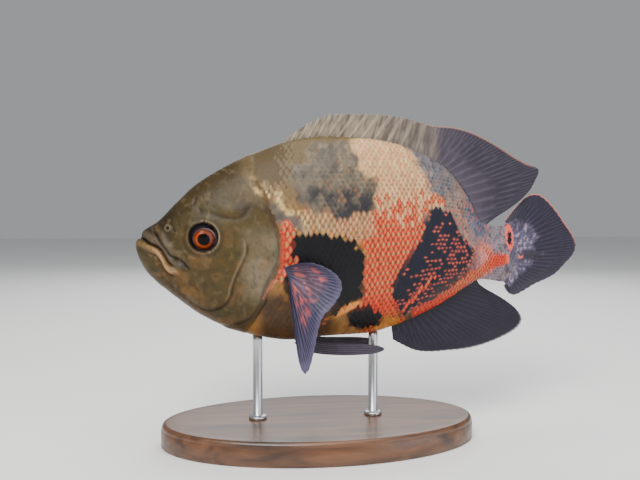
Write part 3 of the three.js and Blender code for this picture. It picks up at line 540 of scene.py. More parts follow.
def face_colour(C, S, Z, h):
    """Paints lips, creases, eye surround and small marks of the face, with painted shade in the mouth, creases, pits
    and eye socket and painted highlights at the mouth corner and on the cheek ridge.
    """
    d, side, al = line_d(GAPE, S, Z)
    C = mix(C, srgb(96, 84, 70), bump(np.where(side > 0, d - 2.6, 9.0), 2.0) * 0.60 * smooth((al - 0.12) / 0.1) * smooth((1.04 - al) / 0.1))
    st = noise(d * 1.6, al * 5, 97)
    C = mix(C, srgb(60, 52, 44), bump(np.where(side > 0, d - 2.6, 9.0), 2.0) * smooth((st - 0.1) / 0.4) * 0.4)
    d, side, al = line_d(LOW_LIP, S, Z)
    tint = mix(np.broadcast_to(srgb(104, 80, 46), S.shape + (3,)), np.broadcast_to(C_LIP, S.shape + (3,)), smooth((al - 0.12) / 0.3))
    C = mix(C, tint, bump(d, 2.0) * 0.9 * smooth((1.04 - al) / 0.1))
    C = mix(C, srgb(186, 150, 116), bump(d + 0.1, 0.8) * 0.45 * smooth((al - 0.35) / 0.2))
    C = mix(C, srgb(132, 92, 62), bump(np.where(side < 0, d - 1.6, 9.0), 0.7) * 0.5 * smooth((al - 0.35) / 0.2))
    # painted shade in the crease under the lower lip
    d, side, al = line_d(LOW_CREASE, S, Z)
    C = mix(C, srgb(62, 40, 22), bump(d, 0.9) * 0.8 * smooth((al - 0.2) / 0.2) * smooth((1.03 - al) / 0.2))
    # painted shade in the slit of the mouth
    d, side, al = line_d(GAPE, S, Z)
    C = mix(C, srgb(34, 22, 18), bump(d, 0.75) * 0.9)
    # painted shade in the lip crease
    d, side, al = line_d(LIP_CREASE, S, Z); e = smooth(al / 0.10) * smooth((1.02 - al) / 0.12)
    C = mix(C, srgb(18, 15, 12), bump(d, 0.70 + 0.5 * smooth((al - 0.55) / 0.2)) * 0.92 * e)
    # painted highlight: a grey spot by the mouth corner, at the lower end of the lip crease
    C = mix(C, srgb(78, 76, 76), bump(np.hypot(S - 27.0, Z - 111.4) / 1.0, 1.7) * 0.6)
    C = mix(C, srgb(104, 88, 62), bump(d - 2.4, 1.5) * (side > 0) * 0.30 * e)
    ex, ez = S - EYE_S, Z - EYE_Z
    r = np.hypot(ex, ez); ang = np.arctan2(ez, -ex)
    # painted shade: the sunk socket round the eyeball is painted near black
    C = mix(C, srgb(26, 22, 26), smooth((9.2 - r) / 0.9) * 0.97)
    C = mix(C, srgb(150, 132, 114), bump(r - 9.35, 0.34) * 0.85 * np.clip(0.45 - 0.75 * np.cos(ang + 0.35), 0.10, 1))
    C = mix(C, srgb(42, 36, 26), bump(r - 11.2, 0.9) * 0.45)
    # nostril: a greyish ring round the tube, and painted shade in its hole
    r = np.hypot(S - NOSTRIL[0], Z - NOSTRIL[1])
    C = mix(C, srgb(104, 92, 74), bump(r - 1.5, 0.7) * 0.7); C = mix(C, srgb(20, 16, 12), bump(r, 0.65) * 0.95)
    # painted shade in the two pits
    for a, b in (PIT_A, PIT_B):
        C = mix(C, srgb(26, 20, 14), bump(np.hypot(S - a, Z - b), 0.8) * 0.8)
    # painted shade along the creases of the temple, brow, cheek groove, chin and cheek fold
    for ln, w, k in ((TEMPLE, 1.2, 0.55), (TEMPLE_TICK, 1.0, 0.4), (BROW, 1.0, 0.45), (PREOP, 1.1, 0.6), (CHIN_CREASE, 1.2, 0.35), (CHEEK_FOLD, 1.2, 0.25)):
        d, _, al = line_d(ln, S, Z)
        C = mix(C, srgb(38, 31, 21), bump(d, w) * k * smooth(al / 0.1) * smooth((1 - al) / 0.1))
    # painted shade along the rear edge of the gill cover, in the groove under its flap
    d, _, al = line_d(OPERCLE, S, Z)
    C = mix(C, srgb(44, 34, 26), bump(d - 0.6, 1.0) * 0.6 * smooth(al / 0.08) * smooth((1 - al) / 0.1))
    # faint freckles of a weathered old face
    hd = bare(S, Z)
    f1 = fbm(S / 1.6, Z / 1.6, 81, 2); f2 = fbm(S / 3.4, Z / 3.4, 82, 3)
    C = mix(C, srgb(44, 37, 25), hd * smooth((f1 - 0.2) / 0.4) * 0.35)
    C = mix(C, srgb(120, 102, 72), hd * smooth((f2 - 0.2) / 0.4) * 0.22)
    # pale ridge in front of the cheek groove, a painted highlight, and a dark spot above it
    d, side, al = line_d(PREOP, S, Z)
    C = mix(C, srgb(146, 124, 96), bump(np.where(side > 0, 9.0, d - 1.1), 0.55) * 0.55 * smooth(al / 0.06) * smooth((0.62 - al) / 0.2))
    return C

# ------------------------------------------------------------------ girth tables: distance up and down from the widest line
_GS = np.linspace(0.5, BODY_END, 400); _GA = np.linspace(-np.pi / 2, np.pi / 2, 241)
_gs, _ga = np.meshgrid(_GS, _GA, indexing="ij")
_gy, _gz = section(_gs, _ga)
_seg = np.hypot(np.diff(_gy, axis=1), np.diff(_gz, axis=1))
_garc = np.concatenate([np.zeros((len(_GS), 1)), np.cumsum(_seg, 1)], 1)
_garc -= _garc[:, [120]]
GIRTH_TOP = _garc[:, -1]; GIRTH_BOT = _garc[:, 0]

def girth_angle(s, g):
    """Section angle (right side) at distance g up from the widest line."""
    fi = np.clip((s - _GS[0]) / (_GS[1] - _GS[0]), 0, len(_GS) - 1.001); i = fi.astype(int); f = fi - i
    out = np.zeros_like(g)
    for ii in np.unique(i):
        k = i == ii
        a0 = np.interp(g[k], _garc[ii], _GA); a1 = np.interp(g[k], _garc[ii + 1], _GA)
        out[k] = a0 * (1 - f[k]) + a1 * f[k]
    return out

def surface(s, g, side):
    """Point and outward direction of the body surface in fish coordinates, on one side."""
    def pt(s_, g_):
        a = girth_angle(s_, g_); y, z = section(s_, a)
        return np.stack([s_, side * np.abs(y), z], -1)
    p = pt(s, g); e = 0.4
    ds = pt(s + e, g) - pt(s - e, g); dg = pt(s, g + e) - pt(s, g - e)
    n = np.cross(ds, dg); n /= np.maximum(np.linalg.norm(n, axis=-1, keepdims=True), 1e-9)
    n *= np.where(np.sum(n * np.stack([0 * s, np.full_like(s, side), 0 * s], -1), -1, keepdims=True) < 0, -1, 1)
    return p, n

def shrink(s):
    """Scales are smaller on the shoulder's edge and towards the tail."""
    return np.interp(s, [66, 90, 120, 170, 205, 235, 250], [1.0, 1.06, 1.0, 0.9, 0.8, 0.66, 0.5])

# ------------------------------------------------------------------ scales
def scale_sites(side):
    rng = np.random.default_rng(5 if side < 0 else 6)
    s_cols = [66.0]
    while s_cols[-1] < TAIL_ROOT + 8: s_cols.append(s_cols[-1] + COL_PITCH * float(shrink(s_cols[-1])))
    s_cols = np.array(s_cols)
    rows = np.arange(-30, 32)
    out = []
    for r in rows:
        pos = np.interp(np.arange(len(s_cols)) + (0.5 if r % 2 else 0.0), np.arange(len(s_cols)), s_cols)
        g = r * ROW_PITCH * shrink(pos)
        top = np.interp(pos, _GS, GIRTH_TOP); bot = np.interp(pos, _GS, GIRTH_BOT)
        ok = (g < top - 0.9) & (g > bot + 0.9)
        out.append(np.stack([pos[ok], g[ok], np.full(ok.sum(), r)], -1))
    q = np.concatenate(out)
    q[:, 0] += rng.normal(0, 0.16, len(q)); q[:, 1] += rng.normal(0, 0.13, len(q))
    q[:, 1] += 0.5 * noise(q[:, 0] / 11, q[:, 1] / 11, 21)
    a = girth_angle(q[:, 0], q[:, 1]); _, z = section(q[:, 0], a)
    keep = poly_sd(HEAD_REAR, q[:, 0], z) > 0.8
    f = np.sqrt(np.clip(1 - np.clip((q[:, 0] + 1.5 - (SKIN_END - 12)) / 12.0, 0, 1) ** 2, 0, 1))
    mid, half = (prof(1, q[:, 0]) + prof(2, q[:, 0])) / 2, (prof(1, q[:, 0]) - prof(2, q[:, 0])) / 2
    keep &= np.abs(z - mid) < half * f + 0.1 * (q[:, 0] < SKIN_END - 12)
    # the scales of the nape run forward above the gill cover
    return q[keep], z[keep], rng

def build_scales(side):
    q, zc, rng = scale_sites(side)
    n = len(q); nu, nv = 8, 7
    u = np.linspace(-1, 1, nu); v = np.linspace(-1, 1, nv)
    U, Vv = np.meshgrid(u, v, indexing="ij"); U, Vv = U.ravel(), Vv.ravel()
    k = shrink(q[:, 0])
    L = 0.90 * COL_PITCH * k; W = 0.86 * ROW_PITCH * k
    size = 1 + rng.normal(0, 0.06, n)
    # outline: rounded at the rear, slightly narrower in front
    wid = np.where(U > 0, np.sqrt(np.clip(1 - np.clip(U, 0, 1) ** 2.4, 0.0, 1)), 1 - 0.18 * U ** 2)
    du = L[:, None] * size[:, None] * (U[None] * 0.92 + 0.12)
    dv = W[:, None] * size[:, None] * (Vv * wid * 1.06)[None]
    s = q[:, 0][:, None] + du; g = q[:, 1][:, None] + dv
    lim_t = np.interp(s, _GS, GIRTH_TOP); lim_b = np.interp(s, _GS, GIRTH_BOT)
    g = np.clip(g, lim_b + 0.05, lim_t - 0.05)
    p, nr = surface(s.ravel(), g.ravel(), side)
    tilt = rng.normal(0, 0.04, n)[:, None]
    flat = (1 - 0.55 * smooth((zc - 140) / 25))[:, None] * (0.35 + 0.65 * np.clip(smooth((q[:, 0] - 68) / 42) + smooth((150 - zc) / 12), 0, 1))[:, None]     # the back's scales lie flatter
    zv = p[:, 2].reshape(n, -1).copy()
    rise = (-SKIN_IN - 0.12 + ((0.40 + tilt) * (U[None] * 0.5 + 0.5) * 1.15 + 0.10 * (1 - Vv[None] ** 2)
                               - 0.16 * np.clip(U[None], 0, 1) ** 6) * k[:, None] * flat)
    p = p + nr * rise.reshape(-1)[:, None]
    P = place(p[:, 0], p[:, 1], p[:, 2])
    # colour: the field at each scale's own place, with a lighter rim or a dark heart by zone
    base = skin_colour(q[:, 0] + 0.3, zc, side, 0.6)
    fieldc = skin_colour(s, zv, side, 0.6)
    C = scale_colour(base, fieldc, q, zc, side, rng, U, Vv, n)
    # one small patch for each scale, at its root's place on an unwrap of the flank
    top, bot = GIRTH_TOP.max(), GIRTH_BOT.min()
    uu = (q[:, 0] - 62) / (SKIN_END - 62) * 0.97 + 0.015
    vv = (q[:, 1] - bot) / (top - bot) * 0.97 + 0.015
    uv = np.stack([(uu[:, None] + U[None] * 0.0045).ravel(), (vv[:, None] + Vv[None] * 0.0045).ravel()], -1)
    f = grid_faces(nu, nv, flip=(side > 0))
    F = (f[None] + (np.arange(n) * nu * nv)[:, None, None]).reshape(-1, 4)
    ob = make_mesh("scales_left" if side < 0 else "scales_right", P, F, C.reshape(-1, 3), uv)
    print("scales", ob.name, n, len(F) * 2)
    return ob

def scale_colour(base, fieldc, q, zc, side, rng, U, V, n):
    """Each scale takes the skin's colour at its root. In the orange it has a red-orange border round a beige heart
    and a brown point at its root; in the dark patches it is near black, with flecks in some rows."""
    s, z, row = q[:, 0], zc, q[:, 2]
    shape = (n, U.size, 3); sh = lambda c: np.broadcast_to(c, shape)
    col = lambda m: np.asarray(m, float)[:, None]
    rnd = rng.random((n, 6)); val = 1 + rng.normal(0, 0.14, n)
    plain = ((base[:, 0] < 3.0 * base[:, 1]) & (base.mean(1) > 0.02)).astype(float)
    calm = plain * (1 - smooth((s - 96) / 14)) * np.maximum(smooth((104 - z) / 10), smooth((z - 148) / 10))
    val = 1 + (val - 1) * (1 - 0.7 * calm)
    C = mix(np.repeat(base[:, None, :], U.size, 1), fieldc, 0.85 * plain[:, None] * np.ones((1, U.size))) * val[:, None, None]
    rr = np.hypot((U - 0.38) / 0.62, V / 0.78)[None]
    heart = np.exp(-(rr / 0.62) ** 2); border = smooth((rr - 0.62) / 0.30) * (U[None] > -0.35)
    root = np.exp(-(((U[None] + 0.02) / 0.28) ** 2 + (V[None] / 0.50) ** 2))
    front = np.clip(-U[None] + 0.10, 0, 1)
    fringe = 1.6 * noise(s / 5, z / 5, 23)
    edge_line = smooth((np.maximum(U, np.abs(V))[None] - 0.72) / 0.28)
    tip = np.exp(-(((U[None] - 1.0) / 0.30) ** 2)) * np.ones_like(V[None])
    ds = {k: poly_sd(v, s + fringe, z + fringe) for k, v in (("or", OR_COL), ("pale", PALEBAND), ("nav", NAVY3), ("blk", BLACK1), ("sad", SADDLE), ("bei", BEIGE_ROWS), ("gr", GREY2))}
    lum = base.mean(1)
    isor = (base[:, 0] > 3.0 * base[:, 1]) & (base[:, 0] > 0.20)
    pz = (ds["pale"] < 1.0) & (ds["nav"] > 0.5)
    turn = pz & ~isor & (rnd[:, 0] < 0.85 * smooth((158 - z) / 18))
    back = isor & (z > 128) & (s < 176) & (rnd[:, 0] > 0.25 + 0.75 * smooth((148 - z) / 16))
    C = mix(C, sh(C_OR), col(turn) * 0.8); C = mix(C, sh(srgb(196, 152, 106)), col(back) * 0.85)
    isor = (isor | turn) & ~back; o = col(isor)
    # orange field
    alt = np.where(row % 2 == 0, 0.50, 0.95) + 0.35 * (rnd[:, 0] - 0.5)
    alt = alt * smooth((z - 84) / 12) * smooth((230 - s) / 15)
    C = mix(C, sh(srgb(182, 140, 88)), o * smooth((0.80 - rr) / 0.34) * col(alt) * 0.92)
    C = mix(C, sh(srgb(208, 44, 20)), o * border * (0.60 + 0.4 * col(rnd[:, 1])))
    C = mix(C, sh(srgb(240, 112, 66)), o * np.exp(-((rr - 0.74) / 0.14) ** 2) * (U[None] > 0.3) * 0.35 * col(rnd[:, 2]))
    C = mix(C, sh(srgb(62, 22, 14)), o * np.clip(root * 0.9 + 0.6 * front, 0, 0.93))
    C = mix(C, sh(srgb(84, 24, 14)), o * edge_line * 0.62)
    C = mix(C, sh(srgb(50, 18, 12)), o * tip * (0.70 + 0.3 * col(rnd[:, 4])))
    # pale band: cream scales, many with an orange-pink crescent, more of them lower down
    pb = ((ds["pale"] < 0.8) | back) & ~isor & (ds["nav"] > 0)
    w = 0.40 + 0.55 * smooth((172 - z) / 22)
    cres = smooth((rr - 0.42) / 0.25) * np.exp(-(V[None] / 0.62) ** 2) * (U[None] > 0.1)
    C = mix(C, sh(srgb(214, 92, 52)), col(pb & (rnd[:, 2] < w)) * cres * (0.65 + 0.35 * col(rnd[:, 3])))
    C = mix(C, sh(srgb(226, 192, 146)), col(pb) * heart * (0.2 + 0.45 * col(rnd[:, 1])))
    C = mix(C, sh(srgb(84, 58, 40)), col(pb) * np.clip(root * 0.85 + 0.55 * front, 0, 0.9) * (0.55 + 0.45 * smooth((176 - z) / 20))[:, None])
    C = mix(C, sh(srgb(110, 74, 50)), col(pb) * tip * 0.6 * (0.3 + 0.7 * smooth((176 - z) / 24))[:, None])
    C = mix(C, sh(srgb(96, 66, 46)), col(pb) * edge_line * 0.50 * (0.35 + 0.65 * smooth((178 - z) / 22))[:, None])
    # beige rows over the dark patch
    bb = (ds["bei"] < 0.8) & ~isor & (lum > 0.045) & ~pb & (poly_sd(GILLFLAP, s, z) > 0.5)
    C = mix(C, sh(srgb(204, 80, 40)), col(bb & (rnd[:, 2] < 0.30 + 0.55 * smooth((s - 98) / 25))) * cres * 0.92)
    C = mix(C, sh(srgb(214, 178, 128)), col(bb) * heart * (0.30 + 0.45 * col(rnd[:, 4])))
    C = mix(C, sh(srgb(60, 44, 34)), col(bb) * np.clip(root * 0.8 + 0.45 * front, 0, 0.85))
    C = mix(C, sh(srgb(62, 40, 28)), col(bb) * np.clip(edge_line * 0.55 + tip * 0.6, 0, 0.85))
    # back, saddle and shoulder: soft dark hearts and pale edges, with here and there a rusty one
    gy = ~isor & ~pb & ~bb & (z > 136) & (lum > 0.03)
    seen = (0.12 + 0.88 * smooth((s - 84) / 34) * smooth((184 - z) / 22))     # scales hardly show on the nape and along the back
    gy = gy * seen
    C = mix(C, sh(srgb(40, 38, 38)), col(gy) * np.clip(0.50 * heart * col(smooth((rnd[:, 1] - 0.35) / 0.5)) + 0.45 * front + 0.35 * root, 0, 0.9))
    C = mix(C, sh(srgb(176, 160, 132)), col(gy) * np.exp(-((rr - 0.85) / 0.2) ** 2) * np.exp(-(V[None] / 0.6) ** 2) * (U[None] > 0.2) * 0.34 * col(rnd[:, 5] + 0.2))
    C = mix(C, sh(srgb(188, 118, 78)), col(gy * (rnd[:, 2] < 0.14) * smooth((s - 100) / 20)) * heart * 0.35)
    cb, _, _ = line_d(CREAMBAND, s, z)
    flap = poly_sd(GILLFLAP, s, z) < 0.8
    cw = col(smooth((4.8 - cb) / 2.0) * (s > 67) * ~isor * ~flap * smooth((166 - z) / 10))
    C = mix(C, sh(srgb(224, 190, 120)), cw * heart * 0.75 * col(smooth((rnd[:, 3] - 0.15) / 0.6)))
    C = mix(C, sh(srgb(184, 104, 60)), cw * cres * 0.5 * col((rnd[:, 4] < 0.4) & (s > 78)))
    C = mix(C, sh(srgb(70, 54, 38)), cw * np.clip(root * 0.7 + 0.4 * front, 0, 0.8))
    # scalloped yellow-olive scales along the top edge of the dark patch
    sc = (np.abs(ds["blk"]) < 2.6) & (z > 118) & (s < 140)
    C = mix(C, sh(srgb(176, 128, 62)), col(sc) * heart * 0.8 * col(rnd[:, 0] < 0.7))
    # rear dark patch: rows of flecks, denser to the rear and lower down
    pf = 0.04 + 0.62 * smooth((s - 162) / 30) * smooth((140 - z) / 14) + 0.35 * smooth((112 - z) / 14)
    fl = (ds["nav"] < -0.3) & (rnd[:, 2] < pf) & (s > 155)
    dash = np.exp(-(((U[None] - 0.42) / 0.40) ** 2 + (V[None] / (0.18 + 0.14 * col(rnd[:, 0]) + 0.08 * col(smooth((s - 175) / 25)))) ** 2))
    C = mix(C, sh(srgb(206, 88, 68)), np.clip(col(fl) * dash * (0.60 + 0.6 * col(rnd[:, 5])), 0, 0.95))
    edge = (np.abs(ds["blk"]) < 2.2) & (rnd[:, 4] < 0.30) & (z < 120)
    C = mix(C, sh(srgb(206, 96, 52)), col(edge) * dash * 0.8)
    # tail root: mottled, with dark gaps
    pd = (s > 168) & ~isor & ~pb & (ds["nav"] > 0) & (z < 150)
    C = mix(C, sh(srgb(34, 31, 42)), col(pd) * np.clip(0.55 * front + 0.45 * root + 0.5 * heart * col(smooth((rnd[:, 3] - 0.5) / 0.4)), 0, 0.9))
    C = mix(C, sh(srgb(206, 96, 70)), col(pd & (rnd[:, 2] < 0.40) & (s < 226)) * dash * 0.6)
    gp = (ds["gr"] < 0.5)
    C = mix(C, sh(srgb(56, 56, 66)), col(gp) * heart * col(rnd[:, 1]) * 0.5)
    return np.clip(ocellus(C, np.repeat(s[:, None], U.size, 1) + 0 * U[None], np.repeat(z[:, None], U.size, 1), 0.9), 0, 1)

# ------------------------------------------------------------------ fins
def fin_sheet(name, root, edge, rays, nu, nv, thick, side=None, colour=None, branch=True, ray_h=0.32, edge_wave=0.0, spines=None):
    """A web between a root line and a free edge, with rays that fork and stand out on both faces.
    root and edge are lines in the side view; side(u, v) gives the sideways place."""
    R = curve_pts(root, nu) if len(root) != nu else np.asarray(root)
    E = curve_pts(edge, nu) if len(edge) != nu else np.asarray(edge)
    u = np.linspace(0, 1, nu); v = np.linspace(0, 1, nv)
    U, V = np.meshgrid(u, v, indexing="ij")
    S = R[:, None, 0] * (1 - V) + E[:, None, 0] * V; Z = R[:, None, 1] * (1 - V) + E[:, None, 1] * V
    if edge_wave:
        w = edge_wave * np.cos(2 * np.pi * rays * 2 * U) * smooth((V - 0.9) / 0.1)
        dx, dz = E[:, None, 0] - R[:, None, 0], E[:, None, 1] - R[:, None, 1]
        ln = np.hypot(dx, dz) + 1e-6; S = S + w * dx / ln; Z = Z + w * dz / ln
    ph = U * rays
    one = 0.5 + 0.5 * np.cos(2 * np.pi * ph)
    two = 0.5 + 0.5 * np.cos(4 * np.pi * ph + np.pi)
    four = 0.5 + 0.5 * np.cos(8 * np.pi * ph + np.pi)
    if branch:
        k1 = smooth((V - 0.28) / 0.22); k2 = smooth((V - 0.66) / 0.16)
        ridge = one ** 3 * (1 - k1) + two ** 3 * k1 * (1 - k2) + four ** 2 * k2
    else:
        ridge = one ** 4
    if spines is not None:      # a first stretch with stout single spines
        cut, count = spines
        sp = (0.5 + 0.5 * np.cos(2 * np.pi * (U / cut * count - 0.02))) ** 13 * 1.5
        k = smooth((cut - U) / 0.02); ridge = ridge * (1 - k) + sp * k
    seg = 0.5 + 0.5 * np.cos(2 * np.pi * V * 34)
    ridge_h = ray_h * ridge * (1 - 0.55 * V) * (1 - 0.25 * seg * smooth((V - 0.3) / 0.2))
    t = (thick[0] + (thick[1] - thick[0]) * np.sqrt(V)) / 2
    # edges of the sheet close to nothing
    close = np.sqrt(np.clip(1 - smooth((V - 0.985) / 0.015), 0, 1)) * np.sqrt(np.clip(np.minimum(U, 1 - U) / 0.004, 0, 1))
    half = (t + ridge_h) * np.maximum(close, 0.02)
    Y = side(U, V) if side is not None else 0 * U
    Y = Y + 0.35 * noise(U * rays / 2.3, V * 3, 91) * smooth(V / 0.5)
    C = colour(U, V, S, Z, ridge)
    A = place(S, Y - half, Z).reshape(-1, 3); B = place(S, Y + half, Z).reshape(-1, 3)
    n = nu * nv
    f1 = grid_faces(nu, nv); f2 = grid_faces(nu, nv, flip=True, base=n)
    iu = np.arange(nu); iv = np.arange(nv)
    def strip(a, flip):
        q = np.stack([a[:-1], a[1:], a[1:] + n, a[:-1] + n], -1)
        return q[:, ::-1] if flip else q
    st = [strip(iu * nv + nv - 1, False), strip(iu * nv, True), strip(iv, False), strip((nu - 1) * nv + iv, True)]
    Vt = np.concatenate([A, B]); F = np.concatenate([f1, f2] + st)
    Cc = np.concatenate([C.reshape(-1, 3)] * 2)
    uv = np.concatenate([np.stack([U * 0.48 + 0.01, V * 0.96 + 0.02], -1).reshape(-1, 2), np.stack([U * 0.48 + 0.51, V * 0.96 + 0.02], -1).reshape(-1, 2)])
    return make_mesh(name, Vt, F, Cc)

def on_line(j, s0, s1, n, d):
    s = np.linspace(s0, s1, n); return np.stack([s, prof(j, s) + d], -1)

C_WEB = srgb(58, 50, 64); C_RAY = srgb(96, 84, 98)

def dorsal_colour(U, V, S, Z, ridge):
    spiny = smooth((192 - S) / 12)
    c = mix(np.broadcast_to(srgb(58, 51, 62), U.shape + (3,)), srgb(84, 75, 88), ridge * 0.6)
    lean = fbm(S / 2.2 - V * 2.0, V * 2.5, 48, 3)
    fine = noise(S / 0.9 - V * 5.0, V * 1.5, 49)
    web = mix(np.broadcast_to(srgb(128, 116, 98), U.shape + (3,)), srgb(74, 64, 58), smooth((0.6 * lean + 0.5 * fine + 0.15) / 0.6) * 0.8)
    c = mix(c, web, spiny * 0.95)
    c = mix(c, srgb(158, 144, 120), spiny * np.clip(ridge, 0, 1) * 0.5)
    c = mix(c, srgb(84, 74, 78), smooth((S - 135) / 50) * spiny * 0.45)
    c = mix(c, srgb(74, 68, 66), spiny * smooth((0.22 - V) / 0.2) * 0.35)
    c = mix(c, srgb(36, 32, 46), smooth((S - 196) / 20) * smooth((V - 0.15) / 0.3) * (1 - 0.6 * np.clip(ridge, 0, 1)) * 0.8)
    n = fbm(S / 7, Z / 7, 41, 3); c = c * (1 + 0.20 * n)[..., None]
    c = mix(c, srgb(186, 128, 100), smooth((V - 0.965) / 0.025) * smooth((S - 165) / 20) * smooth((270 - S) / 10) * (Z > 168) * 0.7)
    c = mix(c, srgb(76, 68, 80), smooth((0.20 - V) / 0.2) * smooth((S - 180) / 10) * 0.5)
    return np.clip(c, 0, 1)

def anal_colour(U, V, S, Z, ridge):
    c = mix(np.broadcast_to(srgb(25, 22, 34), U.shape + (3,)), srgb(44, 39, 54), ridge * 0.6)
    n = fbm(S / 9, Z / 9, 42, 3); c = c * (1 + 0.20 * n)[..., None]
    c = mix(c, srgb(20, 17, 25), smooth((0.2 - V) / 0.2) * 0.5)
    c = mix(c, srgb(196, 182, 190), smooth((V - 0.972) / 0.02) * smooth((U - 0.15) / 0.1) * smooth((0.75 - U) / 0.1) * 0.8)
    return np.clip(c, 0, 1)

def caudal_colour(U, V, S, Z, ridge):
    c = mix(np.broadcast_to(srgb(35, 31, 45), U.shape + (3,)), srgb(58, 52, 70), ridge * 0.65)
    n = fbm(S / 6, Z / 6, 43, 3); sp = noise(S / 1.6, Z / 1.6, 44)
    base = smooth((0.46 - V + 0.20 * n) / 0.25)
    c = mix(c, srgb(104, 96, 124), base * 0.85 * (0.6 + 0.4 * ridge))
    c = mix(c, srgb(184, 162, 172), base * smooth((sp - 0.30) / 0.3) * 0.55)
    c = mix(c, srgb(48, 42, 56), base * smooth((-sp - 0.30) / 0.3) * 0.5)
    c = c * (1 + 0.14 * n)[..., None]
    # dark smudges and orange flecks behind the eye spot
    d = np.hypot((S - 262) / 14, (Z - 113) / 5); c = mix(c, srgb(30, 24, 32), smooth((1 - d) / 0.5) * 0.7)
    d = np.hypot((S - 254) / 4, (Z - 114) / 4)
    c = mix(c, srgb(220, 110, 84), smooth((1 - d) / 0.5) * smooth((noise(S / 1.4, Z / 1.4, 46) - 0.1) / 0.3) * 0.8)
    rim = smooth((V - 0.965) / 0.025)
    c = mix(c, srgb(224, 132, 112), rim * smooth((Z - 116) / 14) * 0.85)
    c = mix(c, srgb(190, 178, 190), rim * smooth((112 - Z) / 8) * 0.75)
    c = ocellus(c, S, Z)
    return np.clip(c, 0, 1)

def ocellus(c, S, Z, grow=1.0):
    """Eye spot on the tail root: dark upright oval in an orange ring."""
    os_, oz = S - 242.6, Z - 125.2
    r = np.hypot(os_ / 2.5, oz / 5.2)
    c = mix(c, srgb(232, 98, 80), smooth((2.0 * grow - r) / 0.4) * 0.95)
    c = mix(c, srgb(22, 17, 30), smooth((1.12 * grow - r) / 0.25))
    d = np.hypot((S - 240.5) / 2.2, (Z - 111.5) / 3.2)
    return mix(c, srgb(226, 100, 74), smooth((1.2 - d) / 0.5) * 0.8)

def pec_colour(U, V, S, Z, ridge):
    c = mix(np.broadcast_to(srgb(40, 39, 60), U.shape + (3,)), srgb(88, 84, 110), np.clip(ridge * 1.1, 0, 1) * 0.8)
    n = fbm(U * 5, V * 5, 51, 3)
    # pinkish blotches lie along the rays in the middle of the fan
    bl = noise(U * 34, V * 11, 52) * 0.8 + noise(U * 17 + 4, V * 6, 53) * 0.5
    zone = smooth((0.80 - V) / 0.2) * smooth((V - 0.10) / 0.12) * smooth((U - 0.04) / 0.1) * smooth((0.66 - U) / 0.12)
    c = mix(c, srgb(206, 92, 80), zone * smooth((bl - 0.02) / 0.45) * 0.68)
    c = mix(c, srgb(150, 100, 108), zone * 0.25)
    c = mix(c, srgb(44, 40, 60), smooth((-n - 0.10) / 0.3) * 0.45)
    c = mix(c, srgb(92, 86, 112), smooth((V - 0.85) / 0.12) * 0.5)
    return np.clip(c, 0, 1)

def pelvic_colour(U, V, S, Z, ridge):
    c = mix(np.broadcast_to(srgb(46, 40, 50), U.shape + (3,)), srgb(86, 78, 92), ridge * 0.7)
    n = fbm(S / 6, Z / 6, 55, 3); return np.clip(c * (1 + 0.2 * n)[..., None], 0, 1)

